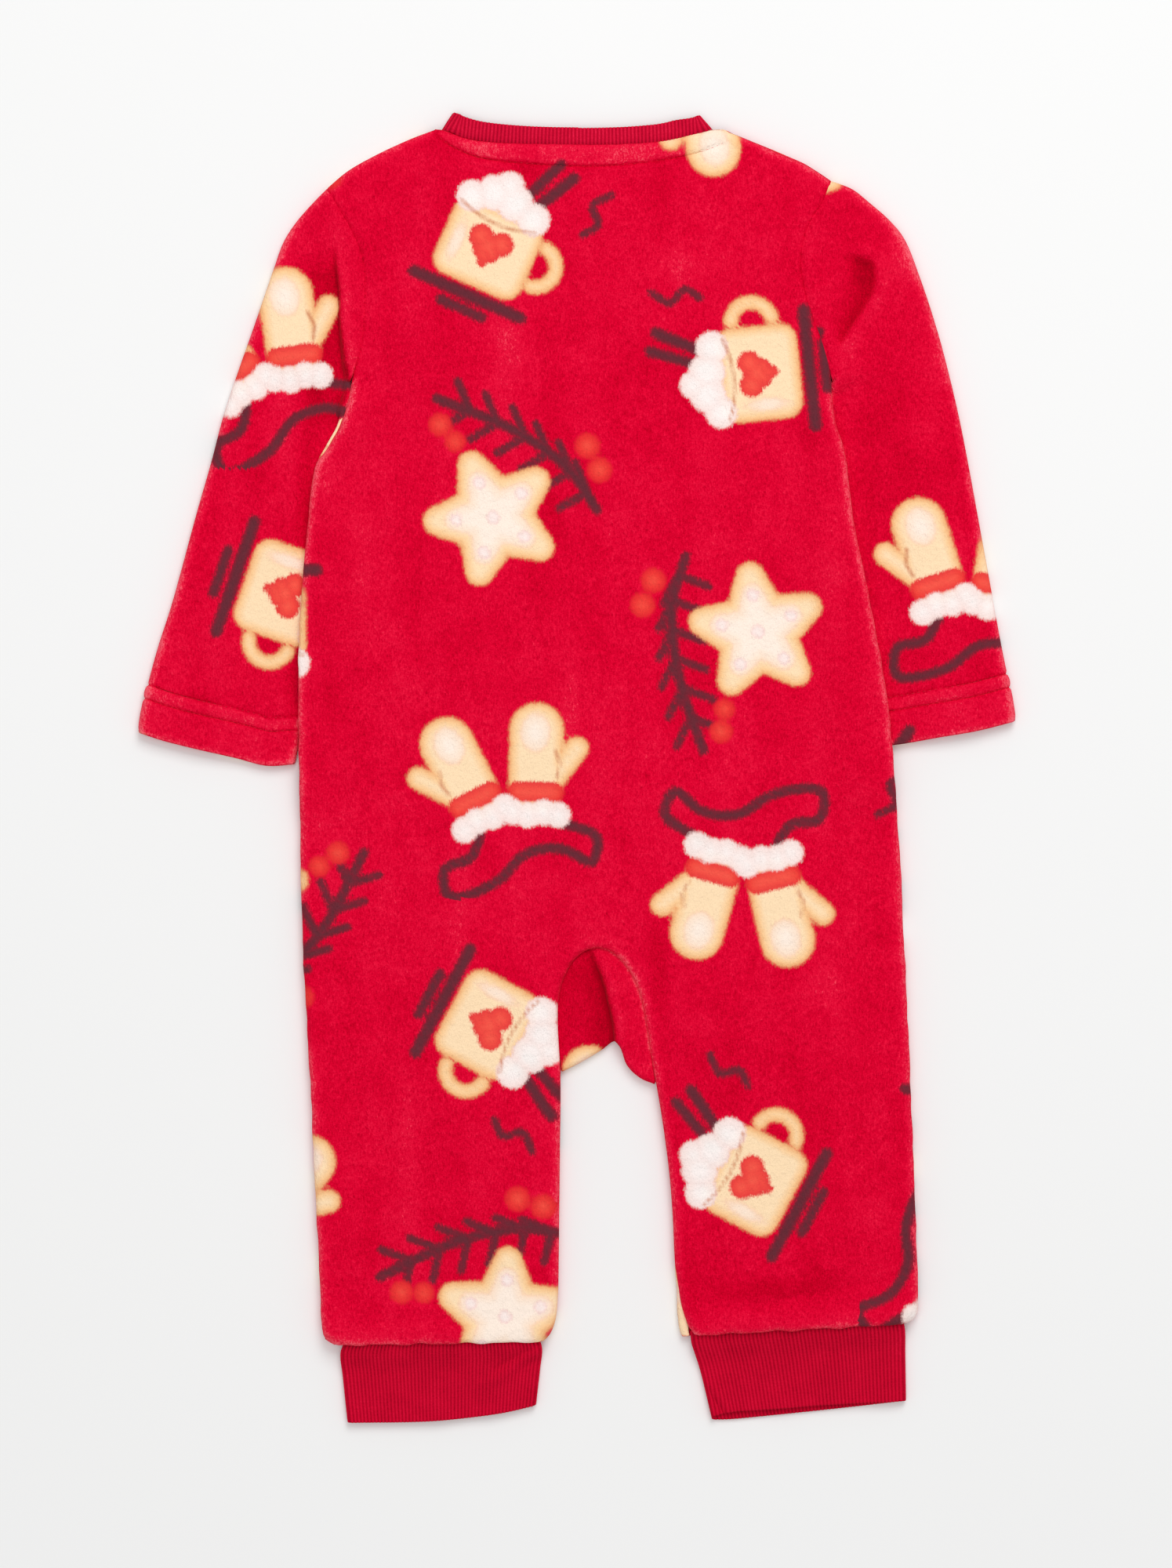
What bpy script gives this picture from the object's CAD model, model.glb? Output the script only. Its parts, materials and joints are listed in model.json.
"""Looks of the baby's fleece one-piece pyjama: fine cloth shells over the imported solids.

Every cloth piece is a closed shell worked out from the same tables as its solid: its middle
surface is laid out in the XY plane, lifted by the height rules, given its creases, stitched
grooves and puckers along its own normal, and then its wall. The printed design is worked out as
signed distances to drawn shapes, one value a point, and the material turns them into colour.
Tables are in millimetres.
"""
import json
import math

import bmesh
import bpy
import numpy as np
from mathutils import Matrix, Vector
from mathutils.bvhtree import BVHTree

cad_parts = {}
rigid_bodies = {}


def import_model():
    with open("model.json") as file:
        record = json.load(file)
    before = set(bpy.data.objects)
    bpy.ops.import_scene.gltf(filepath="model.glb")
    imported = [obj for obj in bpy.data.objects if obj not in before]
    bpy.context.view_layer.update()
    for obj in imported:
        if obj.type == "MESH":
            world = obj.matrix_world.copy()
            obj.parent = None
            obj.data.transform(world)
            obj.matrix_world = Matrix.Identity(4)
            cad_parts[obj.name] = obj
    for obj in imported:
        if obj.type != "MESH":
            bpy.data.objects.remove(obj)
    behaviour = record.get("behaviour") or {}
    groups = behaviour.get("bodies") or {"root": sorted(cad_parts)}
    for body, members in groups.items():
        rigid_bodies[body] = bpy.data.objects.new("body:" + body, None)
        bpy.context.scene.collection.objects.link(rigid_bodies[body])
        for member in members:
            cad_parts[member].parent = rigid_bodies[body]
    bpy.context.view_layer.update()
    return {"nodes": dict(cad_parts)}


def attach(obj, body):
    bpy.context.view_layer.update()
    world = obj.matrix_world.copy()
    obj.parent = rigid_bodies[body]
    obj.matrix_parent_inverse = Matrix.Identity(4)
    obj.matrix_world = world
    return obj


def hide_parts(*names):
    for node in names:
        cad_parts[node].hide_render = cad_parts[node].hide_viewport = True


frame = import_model()
BODY = "garment"
MM = 0.001

# ---------------------------------------------------------------- driving sizes, mm
FLEECE = 2.0          # fleece wall
RIB = 1.5             # rib wall, folded rib pressed flat
GAP = 0.3             # between two pieces at a seam
RIM = 0.45            # upright part of a curled edge
FRONT_LEVEL = 1.0     # middle of the front, where it lies on the surface
BACK_LEVEL = 6.8      # middle of the back
HEM_RISE = 1.2        # the back stands higher over the leg cuffs
SLEEVE_LEVEL = 5.0    # middle of a sleeve's upper layer in the open
TUCK_LEVEL = 3.6      # and where it runs under the side of the body
SIDE_LIFT = 5.0       # how far the side of the body is lifted by the sleeve below it
SIDE_GAP = 3.4        # back to front, middle to middle, on the lifted side
ZIP_LEVEL = 4.2       # middle of the zip tape
ZIP_LIFT = 1.65       # the front edge beside the zip
SLOT = 5.0            # half the slot between the two fronts
ZIP_END = -58.0       # Y where the zip stops
SHIFT = (0.24, 0.0)   # moves the tables' own zero to the middle of the footprint

# ---------------------------------------------------------------- section tables, mm
# trunk and legs: one row a section, columns y, left edge, right edge
SIDES = (
    (176.8, -103.9, 116.8), (166.0, -106.7, 116.8), (157.0, -110.0, 118.4),
    (148.3, -114.4, 121.2), (140.4, -119.0, 123.1), (132.0, -121.1, 124.0),
    (108.0, -123.7, 127.3), (84.0, -125.8, 132.3), (57.0, -127.3, 137.4),
    (28.0, -127.6, 142.2), (-7.6, -127.3, 145.5), (-43.6, -126.9, 148.1),
    (-79.6, -125.8, 149.6), (-115.6, -124.0, 151.4), (-151.6, -121.9, 152.8),
    (-187.6, -120.4, 154.3), (-223.6, -118.6, 155.7), (-243.0, -117.7, 156.2),
)
# inner edges of the legs: y, left leg, right leg; the first rows are the crotch arch
INSEAMS = (
    (-82.4, 9.5, 9.5), (-83.8, 4.1, 14.6), (-87.5, -0.9, 19.3), (-92.9, -4.5, 23.6),
    (-99.4, -7.2, 27.0), (-106.6, -8.7, 29.4), (-119.2, -8.9, 31.8), (-130.0, -8.3, 33.4),
    (-139.6, -7.8, 35.1), (-151.6, -7.7, 37.3), (-169.6, -7.9, 40.1), (-187.6, -8.1, 42.3),
    (-205.6, -8.3, 43.7), (-223.6, -8.5, 44.5), (-240.0, -8.8, 45.5),
)
# rounded corners where a leg turns in to its cuff: left outer, left inner, right inner, right outer
HEM_CORNERS = (
    ((-117.3, -252.0), (-117.0, -257.6), (-115.7, -261.6), (-111.2, -264.5)),
    ((-9.6, -251.0), (-11.1, -256.6), (-13.0, -260.2), (-15.7, -262.8)),
    ((45.7, -247.6), (46.1, -253.4), (46.8, -257.8), (48.6, -261.8)),
    ((155.9, -248.6), (154.9, -251.4), (153.2, -253.4), (150.3, -254.9)),
)
# armholes, shoulder point to underarm: left x, left y, right x, right y
ARMHOLES = (
    (-114.7, 265.3, 116.1, 268.9), (-109.6, 256.3, 112.6, 259.4), (-103.6, 246.2, 106.8, 250.0),
    (-99.9, 237.6, 103.3, 239.6), (-98.0, 228.0, 102.7, 229.0), (-97.8, 215.0, 104.4, 218.6),
    (-98.6, 200.0, 107.5, 207.6), (-100.9, 187.0, 112.2, 194.6), (-103.9, 176.8, 116.8, 176.8),
)
# shoulder line, shoulder point to neck point: left x, left y, right x, right y
SHOULDERS = (
    (-114.7, 265.3, 116.1, 268.9), (-105.3, 273.2, 104.9, 276.5), (-92.7, 280.4, 95.9, 280.6),
    (-78.0, 287.3, 83.0, 286.0), (-66.1, 292.0, 68.2, 291.8),
)
# necklines from the left neck point to the right one: x, y
NECK_BACK = (
    (-66.1, 292.0), (-60.5, 291.2), (-55.0, 289.2), (-46.6, 287.2), (-31.1, 285.9), (-0.5, 285.3),
    (26.5, 285.7), (40.9, 286.8), (52.0, 289.4), (61.0, 291.4), (68.2, 291.8),
)
NECK_FRONT = (
    (-66.1, 292.0), (-63.6, 281.4), (-57.0, 269.8), (-44.0, 258.8), (-25.0, 250.6), (-0.5, 247.7),
    (25.0, 250.6), (45.0, 258.8), (59.0, 269.8), (66.0, 281.4), (68.2, 291.8),
)
# sleeves: outer edge, shoulder point to hem, and inner (underarm) edge, underarm to hem: x, y
SLEEVE_OUTER = {
    "left": ((-114.7, 265.3), (-120.8, 259.2), (-129.1, 249.8), (-134.8, 240.8), (-139.1, 229.0),
             (-147.4, 204.8), (-155.0, 183.2), (-162.2, 161.6), (-167.9, 140.0), (-174.1, 118.4),
             (-185.9, 75.2), (-192.8, 53.6), (-199.6, 27.4), (-201.4, 16.9)),
    "right": ((116.1, 268.9), (126.2, 265.0), (134.5, 258.5), (142.7, 251.3), (149.6, 243.0),
              (157.1, 224.6), (164.7, 201.6), (169.7, 183.2), (174.8, 161.6), (179.1, 140.0),
              (187.0, 96.8), (194.9, 53.6), (199.0, 34.0), (200.9, 22.0)),
}
SLEEVE_INNER = {
    "left": ((-104.6, 175.9), (-104.2, 172.4), (-104.8, 166.0), (-107.0, 158.0), (-110.8, 149.8),
             (-114.6, 141.8), (-116.4, 133.0), (-116.2, 120.0), (-115.2, 106.0), (-116.6, 88.0),
             (-119.4, 64.0), (-123.2, 40.0), (-126.4, 22.0), (-130.4, 2.2)),
    "right": ((117.4, 176.0), (116.2, 172.6), (115.2, 166.0), (115.8, 158.6), (117.8, 151.6),
              (119.6, 145.0), (119.9, 136.6), (119.4, 124.0), (119.2, 108.0), (120.6, 88.0),
              (123.0, 64.0), (125.8, 42.0), (128.4, 24.0), (131.4, 10.6)),
}
# sleeve hems, outer corner to inner corner: x, y
SLEEVE_HEM = {
    "left": ((-201.4, 16.9), (-190.6, 13.3), (-176.6, 9.7), (-156.1, 5.0), (-142.4, 1.6), (-130.4, 2.2)),
    "right": ((200.9, 22.0), (183.4, 17.6), (165.4, 14.5), (144.2, 11.0), (131.4, 10.6)),
}
# leg cuffs: left edge and right edge from the leg down, and the lower edge of each layer: x, y
CUFFS = {
    "left": {
        "left": ((-106.4, -262.6), (-108.6, -268.0), (-107.5, -280.8), (-105.5, -300.0)),
        "right": ((-17.6, -260.8), (-16.1, -266.4), (-17.0, -275.4), (-18.9, -292.0)),
        "upper": ((-105.5, -300.0), (-66.4, -299.2), (-35.1, -295.6), (-18.9, -292.0)),
        "lower": ((-105.5, -300.0), (-66.4, -299.0), (-35.1, -295.2), (-18.9, -292.0)),
    },
    "right": {
        "left": ((51.7, -258.6), (52.2, -263.6), (54.0, -269.2), (56.5, -277.2), (61.6, -298.4)),
        "right": ((149.4, -252.6), (150.3, -258.6), (150.5, -269.3), (150.8, -290.0)),
        "upper": ((61.6, -297.2), (70.0, -295.2), (83.3, -294.2), (118.0, -291.6), (150.8, -290.0)),
        "lower": ((61.6, -298.8), (70.0, -298.6), (83.3, -297.4), (118.0, -293.8), (150.8, -290.1)),
    },
}
# a panel's columns, and the neck band's sections, as shares from the neck point to the centre
NECK_STOPS = (0.0, 0.2, 0.4, 0.6, 0.8, 1.0)
BAND_WIDTH = 8.4      # seam edge to free edge at the centre back
BAND_FLARE = 1.2      # and so much more at the neck points
# and where it turns over beside the neck points, front to back: x and y of the seam edge, x and y
# of the free edge, level of each
BAND_TURN = {
    "left": ((-61.2, 286.6, -55.6, 292.6, 1.3, 1.2), (-61.9, 291.2, -56.9, 299.3, 3.7, 2.7),
             (-58.9, 291.6, -54.6, 299.0, 6.1, 4.3)),
    "right": ((61.2, 286.6, 56.2, 292.2, 1.3, 1.2), (61.9, 291.4, 56.3, 298.0, 3.7, 2.7),
              (59.2, 291.5, 55.0, 298.1, 6.1, 4.3)),
}
BAND_LEVELS = (6.4, 4.5)      # middle of the back half, at the seam and at the free edge
# centre line from the back neck down to the crotch: y, x
CENTRE = ((292.0, -0.6), (247.7, -0.4), (176.8, 0.6), (100.0, 3.1), (-7.6, 7.4), (-82.4, 9.5))
# lower edge of the gusset, where it is folded, left to right: x, y
GUSSET_FOLD = (
    (-7.2, -138.6), (1.3, -134.3), (10.3, -128.9), (17.0, -124.6), (20.4, -127.8),
    (23.7, -136.2), (29.4, -141.6), (35.5, -144.2),
)
GUSSET_SPAN = -130.0      # the gusset is sewn into the arch above this y
PLEAT = ((9.9, -91.0), (14.4, -104.0), (17.2, -119.0))   # the soft pleat down its middle: x, y
PLEAT_HEIGHT = 1.2
SLIDER_Y = 250.0

COLOURS = {
    "fleece": (0.72, 0.013, 0.03), "fleece_hidden": (0.66, 0.012, 0.028),
    "rib": (0.55, 0.008, 0.024), "tape": (0.5, 0.008, 0.022), "zip_metal": (0.62, 0.6, 0.58),
}


# ---------------------------------------------------------------- curves
def spline(rows, per=10):
    """A smooth curve through the rows (centripetal Catmull-Rom), as a fine polyline."""
    p = np.array(rows, float)
    if len(p) == 2:
        return np.linspace(p[0], p[1], per + 1)
    p = np.vstack([2 * p[0] - p[1], p, 2 * p[-1] - p[-2]])
    out = []
    for a, b, c, d in zip(p[:-3], p[1:-2], p[2:-1], p[3:]):
        t = [0.0]
        for m, n in ((a, b), (b, c), (c, d)):
            t.append(t[-1] + max(np.linalg.norm((n - m)[:2]), 1e-6) ** 0.5)
        for u in np.linspace(t[1], t[2], per, endpoint=False):
            a1 = a + (b - a) * (u - t[0]) / (t[1] - t[0])
            a2 = b + (c - b) * (u - t[1]) / (t[2] - t[1])
            a3 = c + (d - c) * (u - t[2]) / (t[3] - t[2])
            b1 = a1 + (a2 - a1) * (u - t[0]) / (t[2] - t[0])
            b2 = a2 + (a3 - a2) * (u - t[1]) / (t[3] - t[1])
            out.append(b1 + (b2 - b1) * (u - t[1]) / (t[2] - t[1]))
    out.append(p[-2])
    return np.array(out)


def lengths(line):
    return np.concatenate([[0.0], np.cumsum(np.linalg.norm(np.diff(line[:, :2], axis=0), axis=1))])


def at(line, share):
    """Points of a polyline at shares 0..1 of its length."""
    s = lengths(line)
    q = np.clip(np.asarray(share, float), 0, 1) * s[-1]
    return np.stack([np.interp(q, s, line[:, k]) for k in range(line.shape[1])], -1)


def inset(line, by):
    """The polyline moved to its left side by a distance, one number or one for each point."""
    d = np.gradient(line, axis=0)
    n = np.stack([-d[:, 1], d[:, 0]], 1)
    n /= np.linalg.norm(n, axis=1)[:, None]
    return line + n * np.reshape(by, (-1, 1) if np.ndim(by) else (1, 1))


def trimmed(line, start=0.0, end=0.0):
    s = lengths(line)
    total = s[-1]
    inner = line[(s > start + 0.2) & (s < total - end - 0.2)]
    return np.vstack([at(line, start / total)[None], inner, at(line, 1 - end / total)[None]])


def joined(*lines):
    """Lines end to end, meeting at the mean of each pair of ends; returns it and its breaks."""
    lines = [l.copy() for l in lines]
    for a, b in zip(lines, lines[1:]):
        a[-1] = b[0] = (a[-1] + b[0]) / 2
    whole = np.vstack([lines[0]] + [l[1:] for l in lines[1:]])
    breaks, s = [0.0], 0.0
    for l in lines:
        s += lengths(l)[-1]
        breaks.append(s)
    return whole, np.array(breaks) / s


def smooth(t):
    t = np.clip(t, 0.0, 1.0)
    return t * t * (3 - 2 * t)


def distance(x, y, line):
    """Distance of every point to a polyline, in the XY plane."""
    p = np.stack([np.ravel(x), np.ravel(y)], 1)[:, None]
    a, b = line[None, :-1, :2], line[None, 1:, :2]
    ab = b - a
    t = np.clip(((p - a) * ab).sum(-1) / np.maximum((ab ** 2).sum(-1), 1e-12), 0, 1)
    return np.sqrt((((a + ab * t[..., None]) - p) ** 2).sum(-1)).min(1).reshape(np.shape(x))


def coons(top, bottom, left, right, u, v, v_right=None):
    """A patch between four curves; u and v are shares along top/bottom and along left/right."""
    v_right = v if v_right is None else v_right
    t, b = at(top, u)[None], at(bottom, u)[None]
    l, r = at(left, v)[:, None], at(right, v_right)[:, None]
    uu, vv = u[None, :, None], v[:, None, None]
    return ((1 - uu) * l + uu * r + (1 - vv) * t + vv * b
            - ((1 - uu) * (1 - vv) * t[:, :1] + uu * (1 - vv) * t[:, -1:]
               + (1 - uu) * vv * b[:, :1] + uu * vv * b[:, -1:]))


SIDE = {"left": -1, "right": 1}
TABLE = {
    "side": {s: spline([(r[1 + k], r[0]) for r in SIDES] + list(HEM_CORNERS[3 * k]))
             for k, s in enumerate(("left", "right"))},
    "inseam": {s: spline([(r[1 + k], r[0]) for r in INSEAMS] + list(HEM_CORNERS[1 + k]))
               for k, s in enumerate(("left", "right"))},
    "armhole": {s: spline([(r[2 * k], r[2 * k + 1]) for r in ARMHOLES]) for k, s in enumerate(("left", "right"))},
    "shoulder": {s: spline([(r[2 * k], r[2 * k + 1]) for r in SHOULDERS]) for k, s in enumerate(("left", "right"))},
}
CENTRE_LINE = spline([(x, y) for y, x in CENTRE])
FOLD_LINE = spline(GUSSET_FOLD)


def centre_x(y):
    c = CENTRE_LINE[::-1]
    return np.interp(y, c[:, 1], c[:, 0])


# ---------------------------------------------------------------- heights, mm
def inner_x(side, y):
    """The sleeve's inner edge at a height y, for the strip of the body that it lifts."""
    line = spline(SLEEVE_INNER[side])[::-1]
    return np.interp(y, line[:, 1], line[:, 0])


def side_lift(x, y):
    along = smooth((176.4 - y) / 11.0) * (1 - smooth((-4.0 - y) / 24.0))
    left = smooth((inner_x("left", y) + 20.0 - x) / 16.0)
    right = smooth((x - inner_x("right", y) + 20.0) / 16.0)
    return along * (left + right)


def zip_lift(x, y):
    return ZIP_LIFT * (1 - smooth((np.abs(x - centre_x(y)) - SLOT - 1.0) / 12.0)) * smooth((y - ZIP_END + 16.0) / 16.0)


def front_level(x, y):
    return FRONT_LEVEL + SIDE_LIFT * side_lift(x, y) + zip_lift(x, y)


def back_level(x, y):
    hem = HEM_RISE * smooth((-236.0 - y) / 22.0)
    bump = 0.5 * np.exp(-((x - centre_x(SLIDER_Y)) ** 2 + (y - SLIDER_Y) ** 2) / 18.0 ** 2)
    lift = side_lift(x, y)
    return BACK_LEVEL + hem + bump + lift * (FRONT_LEVEL + SIDE_LIFT + SIDE_GAP - BACK_LEVEL)


def seam_level(x, y):
    """Where the back's and the front's curled edges meet."""
    arch = (np.abs(x - 12.0) < 40) * smooth((y + 150.0) / 10.0) * (y < -60)
    mean = (FRONT_LEVEL + SIDE_LIFT * side_lift(x, y) + back_level(x, y)) / 2
    return mean + arch * (4.75 - mean)


def curled(level, seam, d, sign):
    """Height of a panel that curls over to the seam within a short distance d of its edge."""
    start = seam + sign * (GAP / 2 + RIM)
    rise = level - start
    radius = 1.12 * np.abs(rise)
    t = np.clip(d / np.maximum(radius, 1e-6), 0, 1)
    return start + rise * np.sqrt(1 - (1 - t) ** 2)


# ---------------------------------------------------------------- fine curves and fields
PITCH = 2.14        # between points on the body panels
EDGE_FINE = np.array([0.0, 0.05, 0.2, 0.45, 0.8, 1.25, 1.8, 2.5, 3.4, 4.6])


def thin(line, step=2.0):
    """The polyline at even steps, so that distances to it are quick to work out."""
    n = max(2, int(lengths(line)[-1] / step) + 1)
    return at(line, np.linspace(0, 1, n))


def nearest(x, y, line, reach=None):
    """Signed distance to a polyline (left of its travel is positive), share of its length there,
    and the nearest point of it. Points further from its box than reach are left at a large distance."""
    shape = np.shape(x)
    p = np.stack([np.ravel(x), np.ravel(y)], 1)
    a, b = line[:-1, :2], line[1:, :2]
    ab = b - a
    square = np.maximum((ab ** 2).sum(1), 1e-12)
    seg = np.sqrt(square)
    start = np.concatenate([[0], np.cumsum(seg)[:-1]])
    dist, share, foot = np.full(len(p), 1e3), np.zeros(len(p)), p.copy()
    todo = np.arange(len(p))
    if reach is not None:
        lo, hi = line[:, :2].min(0) - reach, line[:, :2].max(0) + reach
        todo = todo[((p > lo) & (p < hi)).all(1)]
    for i in range(0, len(todo), 3000):
        k = todo[i:i + 3000]
        ap = p[k, None] - a
        t = np.clip((ap * ab).sum(-1) / square, 0, 1)
        d2 = ((ap - ab * t[..., None]) ** 2).sum(-1)
        j, n = d2.argmin(1), np.arange(len(k))
        cross = ab[j, 0] * ap[n, j, 1] - ab[j, 1] * ap[n, j, 0]
        dist[k] = np.sqrt(d2[n, j]) * np.where(cross >= 0, 1, -1)
        share[k] = (start[j] + t[n, j] * seg[j]) / seg.sum()
        foot[k] = a[j] + ab[j] * t[n, j][:, None]
    return dist.reshape(shape), share.reshape(shape), foot.reshape(*shape, 2)


def waves(x, y, size, seed, stretch=1.0, terms=7):
    """A smooth uneven field, about -1 to 1, in lumps of a size in mm, longer along Y by stretch."""
    r = np.random.default_rng(seed)
    out = 0.0
    for _ in range(terms):
        turn, f = r.uniform(0, math.pi), 2 * math.pi / (size * r.uniform(0.7, 1.5))
        out = out + np.sin(f * (x * math.cos(turn) + y * math.sin(turn) / stretch) + r.uniform(0, 6.283))
    return out / math.sqrt(terms) * 0.9


def bump(d, at_d, width):
    return np.exp(-((d - at_d) / width) ** 2)


def spread(length, pitch, start=False, end=False, stops=None):
    """Shares 0..1 of a length at an even pitch, crowded at a curled start or end."""
    lo = EDGE_FINE if start else np.zeros(1)
    hi = EDGE_FINE if end else np.zeros(1)
    need = lo[-1] + hi[-1] + pitch
    if length < need:
        lo, hi = lo * length / need, hi * length / need
    a, b = lo[-1], length - hi[-1]
    n = stops if stops else max(1, int(math.ceil((b - a) / pitch)))
    return np.concatenate([lo, np.linspace(a, b, n + 1)[1:-1], length - hi[::-1]]) / length


# creases that are pressed into each piece: height (minus is a trough), half width, points along it
CREASES = {
    "back": (
        (-0.5, 5, ((-97.4, 199.4), (-85.1, 213.8), (-68.9, 230.0), (-49.1, 242.6), (-34.7, 248.0))),
        (0.45, 7, ((-92.3, 190.4), (-77.9, 206.6), (-61.7, 222.1), (-44.8, 233.6))),
        (0.6, 8, ((-29.3, 219.2), (-26.8, 194.0), (-29.3, 168.8), (-34.7, 143.6), (-39.1, 118.4))),
        (-0.5, 6, ((-13.1, 156.2), (-11.7, 132.8), (-13.1, 107.6), (-14.9, 82.4))),
        (0.45, 5, ((-1.3, 57.2), (-0.2, 35.6), (-3.1, 6.8), (-5.2, -22.0))),
        (-0.35, 8, ((12.1, 136.4), (14.2, 100.4), (12.8, 64.4))),
        (0.45, 9, ((-52.7, -4.0), (-54.2, -43.6), (-53.5, -79.6), (-50.6, -119.2))),
        (-0.6, 7, ((-34.7, -90.4), (-31.9, -112.0), (-32.9, -133.6), (-36.2, -158.8))),
        (0.35, 7, ((-77.9, -158.8), (-79.0, -187.6), (-77.2, -223.6))),
        (-0.4, 8, ((60.7, -79.6), (64.3, -112.0), (67.9, -140.8))),
        (0.45, 10, ((107.5, -72.4), (110.0, -104.8), (109.3, -130.0))),
        (-1.0, 4.5, ((60.7, -248.0), (80.5, -246.6), (98.5, -243.4), (117.2, -238.7), (136.3, -235.1), (151.7, -238.0))),
        (-0.45, 3.5, ((-115.7, -249.5), (-95.9, -252.4), (-70.7, -253.8), (-41.9, -253.8), (-13.1, -249.5))),
        (-0.4, 8, ((107.5, 194.0), (80.5, 189.7), (51.7, 190.4))),
        (-0.5, 6, ((-11.0, -115.6), (-16.7, -133.6), (-23.2, -158.8))),
        (-0.6, 4.5, ((35.8, -76.0), (38.0, -97.6), (39.4, -122.8), (40.9, -148.0))),
        (0.45, 12, ((37.3, 233.6), (51.7, 228.2), (69.7, 215.6))),
        (0.35, 10, ((-103.1, 122.0), (-101.3, 93.2), (-102.4, 64.4))),
    ),
    "sleeve_left": (
        (0.8, 7, ((-134.8, 213.8), (-133.4, 190.4), (-135.5, 165.2), (-140.9, 140.0), (-145.6, 122.0))),
        (-0.6, 6, ((-157.1, 140.0), (-150.7, 122.0), (-152.8, 100.4))),
        (0.45, 9, ((-167.9, 74.4), (-170.8, 46.4))),
        (-0.5, 7, ((-146.3, 100.4), (-148.1, 71.6), (-149.9, 46.4))),
    ),
    "sleeve_right": (
        (0.8, 8, ((145.3, 244.4), (152.5, 228.2), (153.5, 208.4), (148.9, 188.6))),
        (-0.6, 7, ((161.5, 233.6), (166.9, 208.4), (169.4, 186.8))),
        (-0.5, 7, ((148.9, 150.8), (154.3, 129.2), (159.7, 100.4))),
        (0.4, 9, ((166.9, 122.0), (172.3, 93.2), (177.7, 68.0))),
    ),
    "front_left": (
        (0.35, 6, ((-92.0, 196.0), (-76.0, 182.0), (-58.0, 150.0), (-50.0, 118.0))),
        (0.3, 7, ((-58.0, 60.0), (-61.0, 20.0), (-57.0, -40.0))),
        (0.35, 5, ((-20.0, -96.0), (-38.0, -112.0), (-58.0, -122.0))),
        (0.3, 6, ((-66.0, -160.0), (-64.0, -200.0), (-68.0, -236.0))),
    ),
    "front_right": (
        (0.35, 6, ((94.0, 196.0), (78.0, 176.0), (64.0, 146.0))),
        (0.3, 7, ((70.0, 66.0), (76.0, 20.0), (72.0, -36.0))),
        (0.35, 5, ((40.0, -98.0), (58.0, -116.0), (80.0, -124.0))),
        (0.3, 6, ((101.0, -150.0), (98.0, -196.0), (102.0, -238.0))),
    ),
}
# where the left sleeve folds over itself beside its armhole, and where the right one hooks round
LEFT_FOLD = ((-110.2, 240.0), (-109.6, 233.6), (-108.5, 223.2), (-107.8, 216.4), (-107.8, 206.3),
             (-106.7, 196.6), (-105.3, 186.5), (-103.9, 177.8), (-104.6, 171.2), (-107.5, 163.0))
RIGHT_HOOK = ((120.1, 236.5), (124.7, 235.1), (130.1, 233.6), (135.2, 230.8), (136.6, 225.7),
              (135.5, 217.8), (130.9, 209.5), (124.4, 199.4), (118.6, 190.4))
# where the nap is brushed lighter (plus) or darker (minus): x, y, half width, half height, turn, amount
NAP = {
    "back": (
        (-114, 136, 9, 22, 0, 0.3), (-100, 100, 13, 32, 0, 0.2), (-85, 216, 22, 18, 0, 0.12),
        (-31, 194, 9, 27, 0, 0.35), (-37, 156, 10, 22, 0, 0.2), (-13, 129, 5, 27, 0, -0.3),
        (2, 115, 8, 43, 0, -0.15), (-2, 34, 4, 18, 0, 0.4), (-4, 12, 4, 16, 0, 0.2),
        (52, 230, 16, 11, 0, 0.3), (70, 187, 43, 13, 0, -0.18), (-53, -62, 5, 58, 0, 0.3),
        (-35, -112, 11, 22, 0, -0.4), (-65, -62, 8, 36, 0, 0.15), (-103, -36, 16, 32, 0, 0.15),
        (110, -98, 11, 22, 0, 0.3), (131, -152, 11, 32, 0, 0.12), (61, -98, 14, 22, 0, -0.12),
        (37, -94, 5, 22, 0, -0.35), (89, -239, 34, 6, 6, -0.5), (-78, -180, 7, 32, 0, 0.15),
        (116, 79, 8, 61, 0, 0.15), (59, 43, 25, 22, 0, -0.1), (-49, 54, 22, 14, 0, -0.1),
        (-64, 244, 18, 14, 0, -0.12), (-13, 234, 14, 22, 0, -0.12), (80, 244, 14, 14, 0, 0.1),
        (129, -202, 11, 29, 0, 0.1), (-92, -231, 14, 14, 0, 0.12), (100, -175, 60, 90, 0, -0.13), (20, -40, 100, 70, 0, 0.08),
    ),
    "sleeve_left": (
        (-134, 180, 8, 41, 0, 0.45), (-157, 122, 13, 22, 0, 0.12), (-157, 86, 16, 14, 0, 0.12),
        (-120, 183, 5, 31, 0, -0.7), (-125, 122, 4, 25, 0, -0.5), (-129, 57, 4, 40, 0, -0.6),
        (-175, 46, 16, 14, 0, 0.15), (-146, 136, 5, 18, 0, -0.2), (-179, 86, 7, 32, 15, 0.15), (-150, 120, 50, 120, 0, -0.05),
    ),
    "sleeve_right": (
        (149, 234, 11, 22, 0, 0.4), (163, 180, 7, 25, 0, 0.2), (130, 226, 5, 9, 0, -0.6),
        (134, 151, 7, 22, 0, -0.1), (156, 136, 14, 18, 0, -0.12), (152, 72, 18, 18, 0, 0.1),
        (134, 100, 4, 29, 0, -0.2), (122, 244, 9, 11, 0, -0.15), (155, 140, 50, 120, 0, -0.12),
    ),
    "front_left": ((-70, 100, 20, 60, 0, 0.2), (-60, -150, 14, 50, 0, -0.2)),
    "front_right": ((75, 90, 20, 60, 0, 0.2), (95, -150, 14, 50, 0, -0.2)),
}


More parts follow.
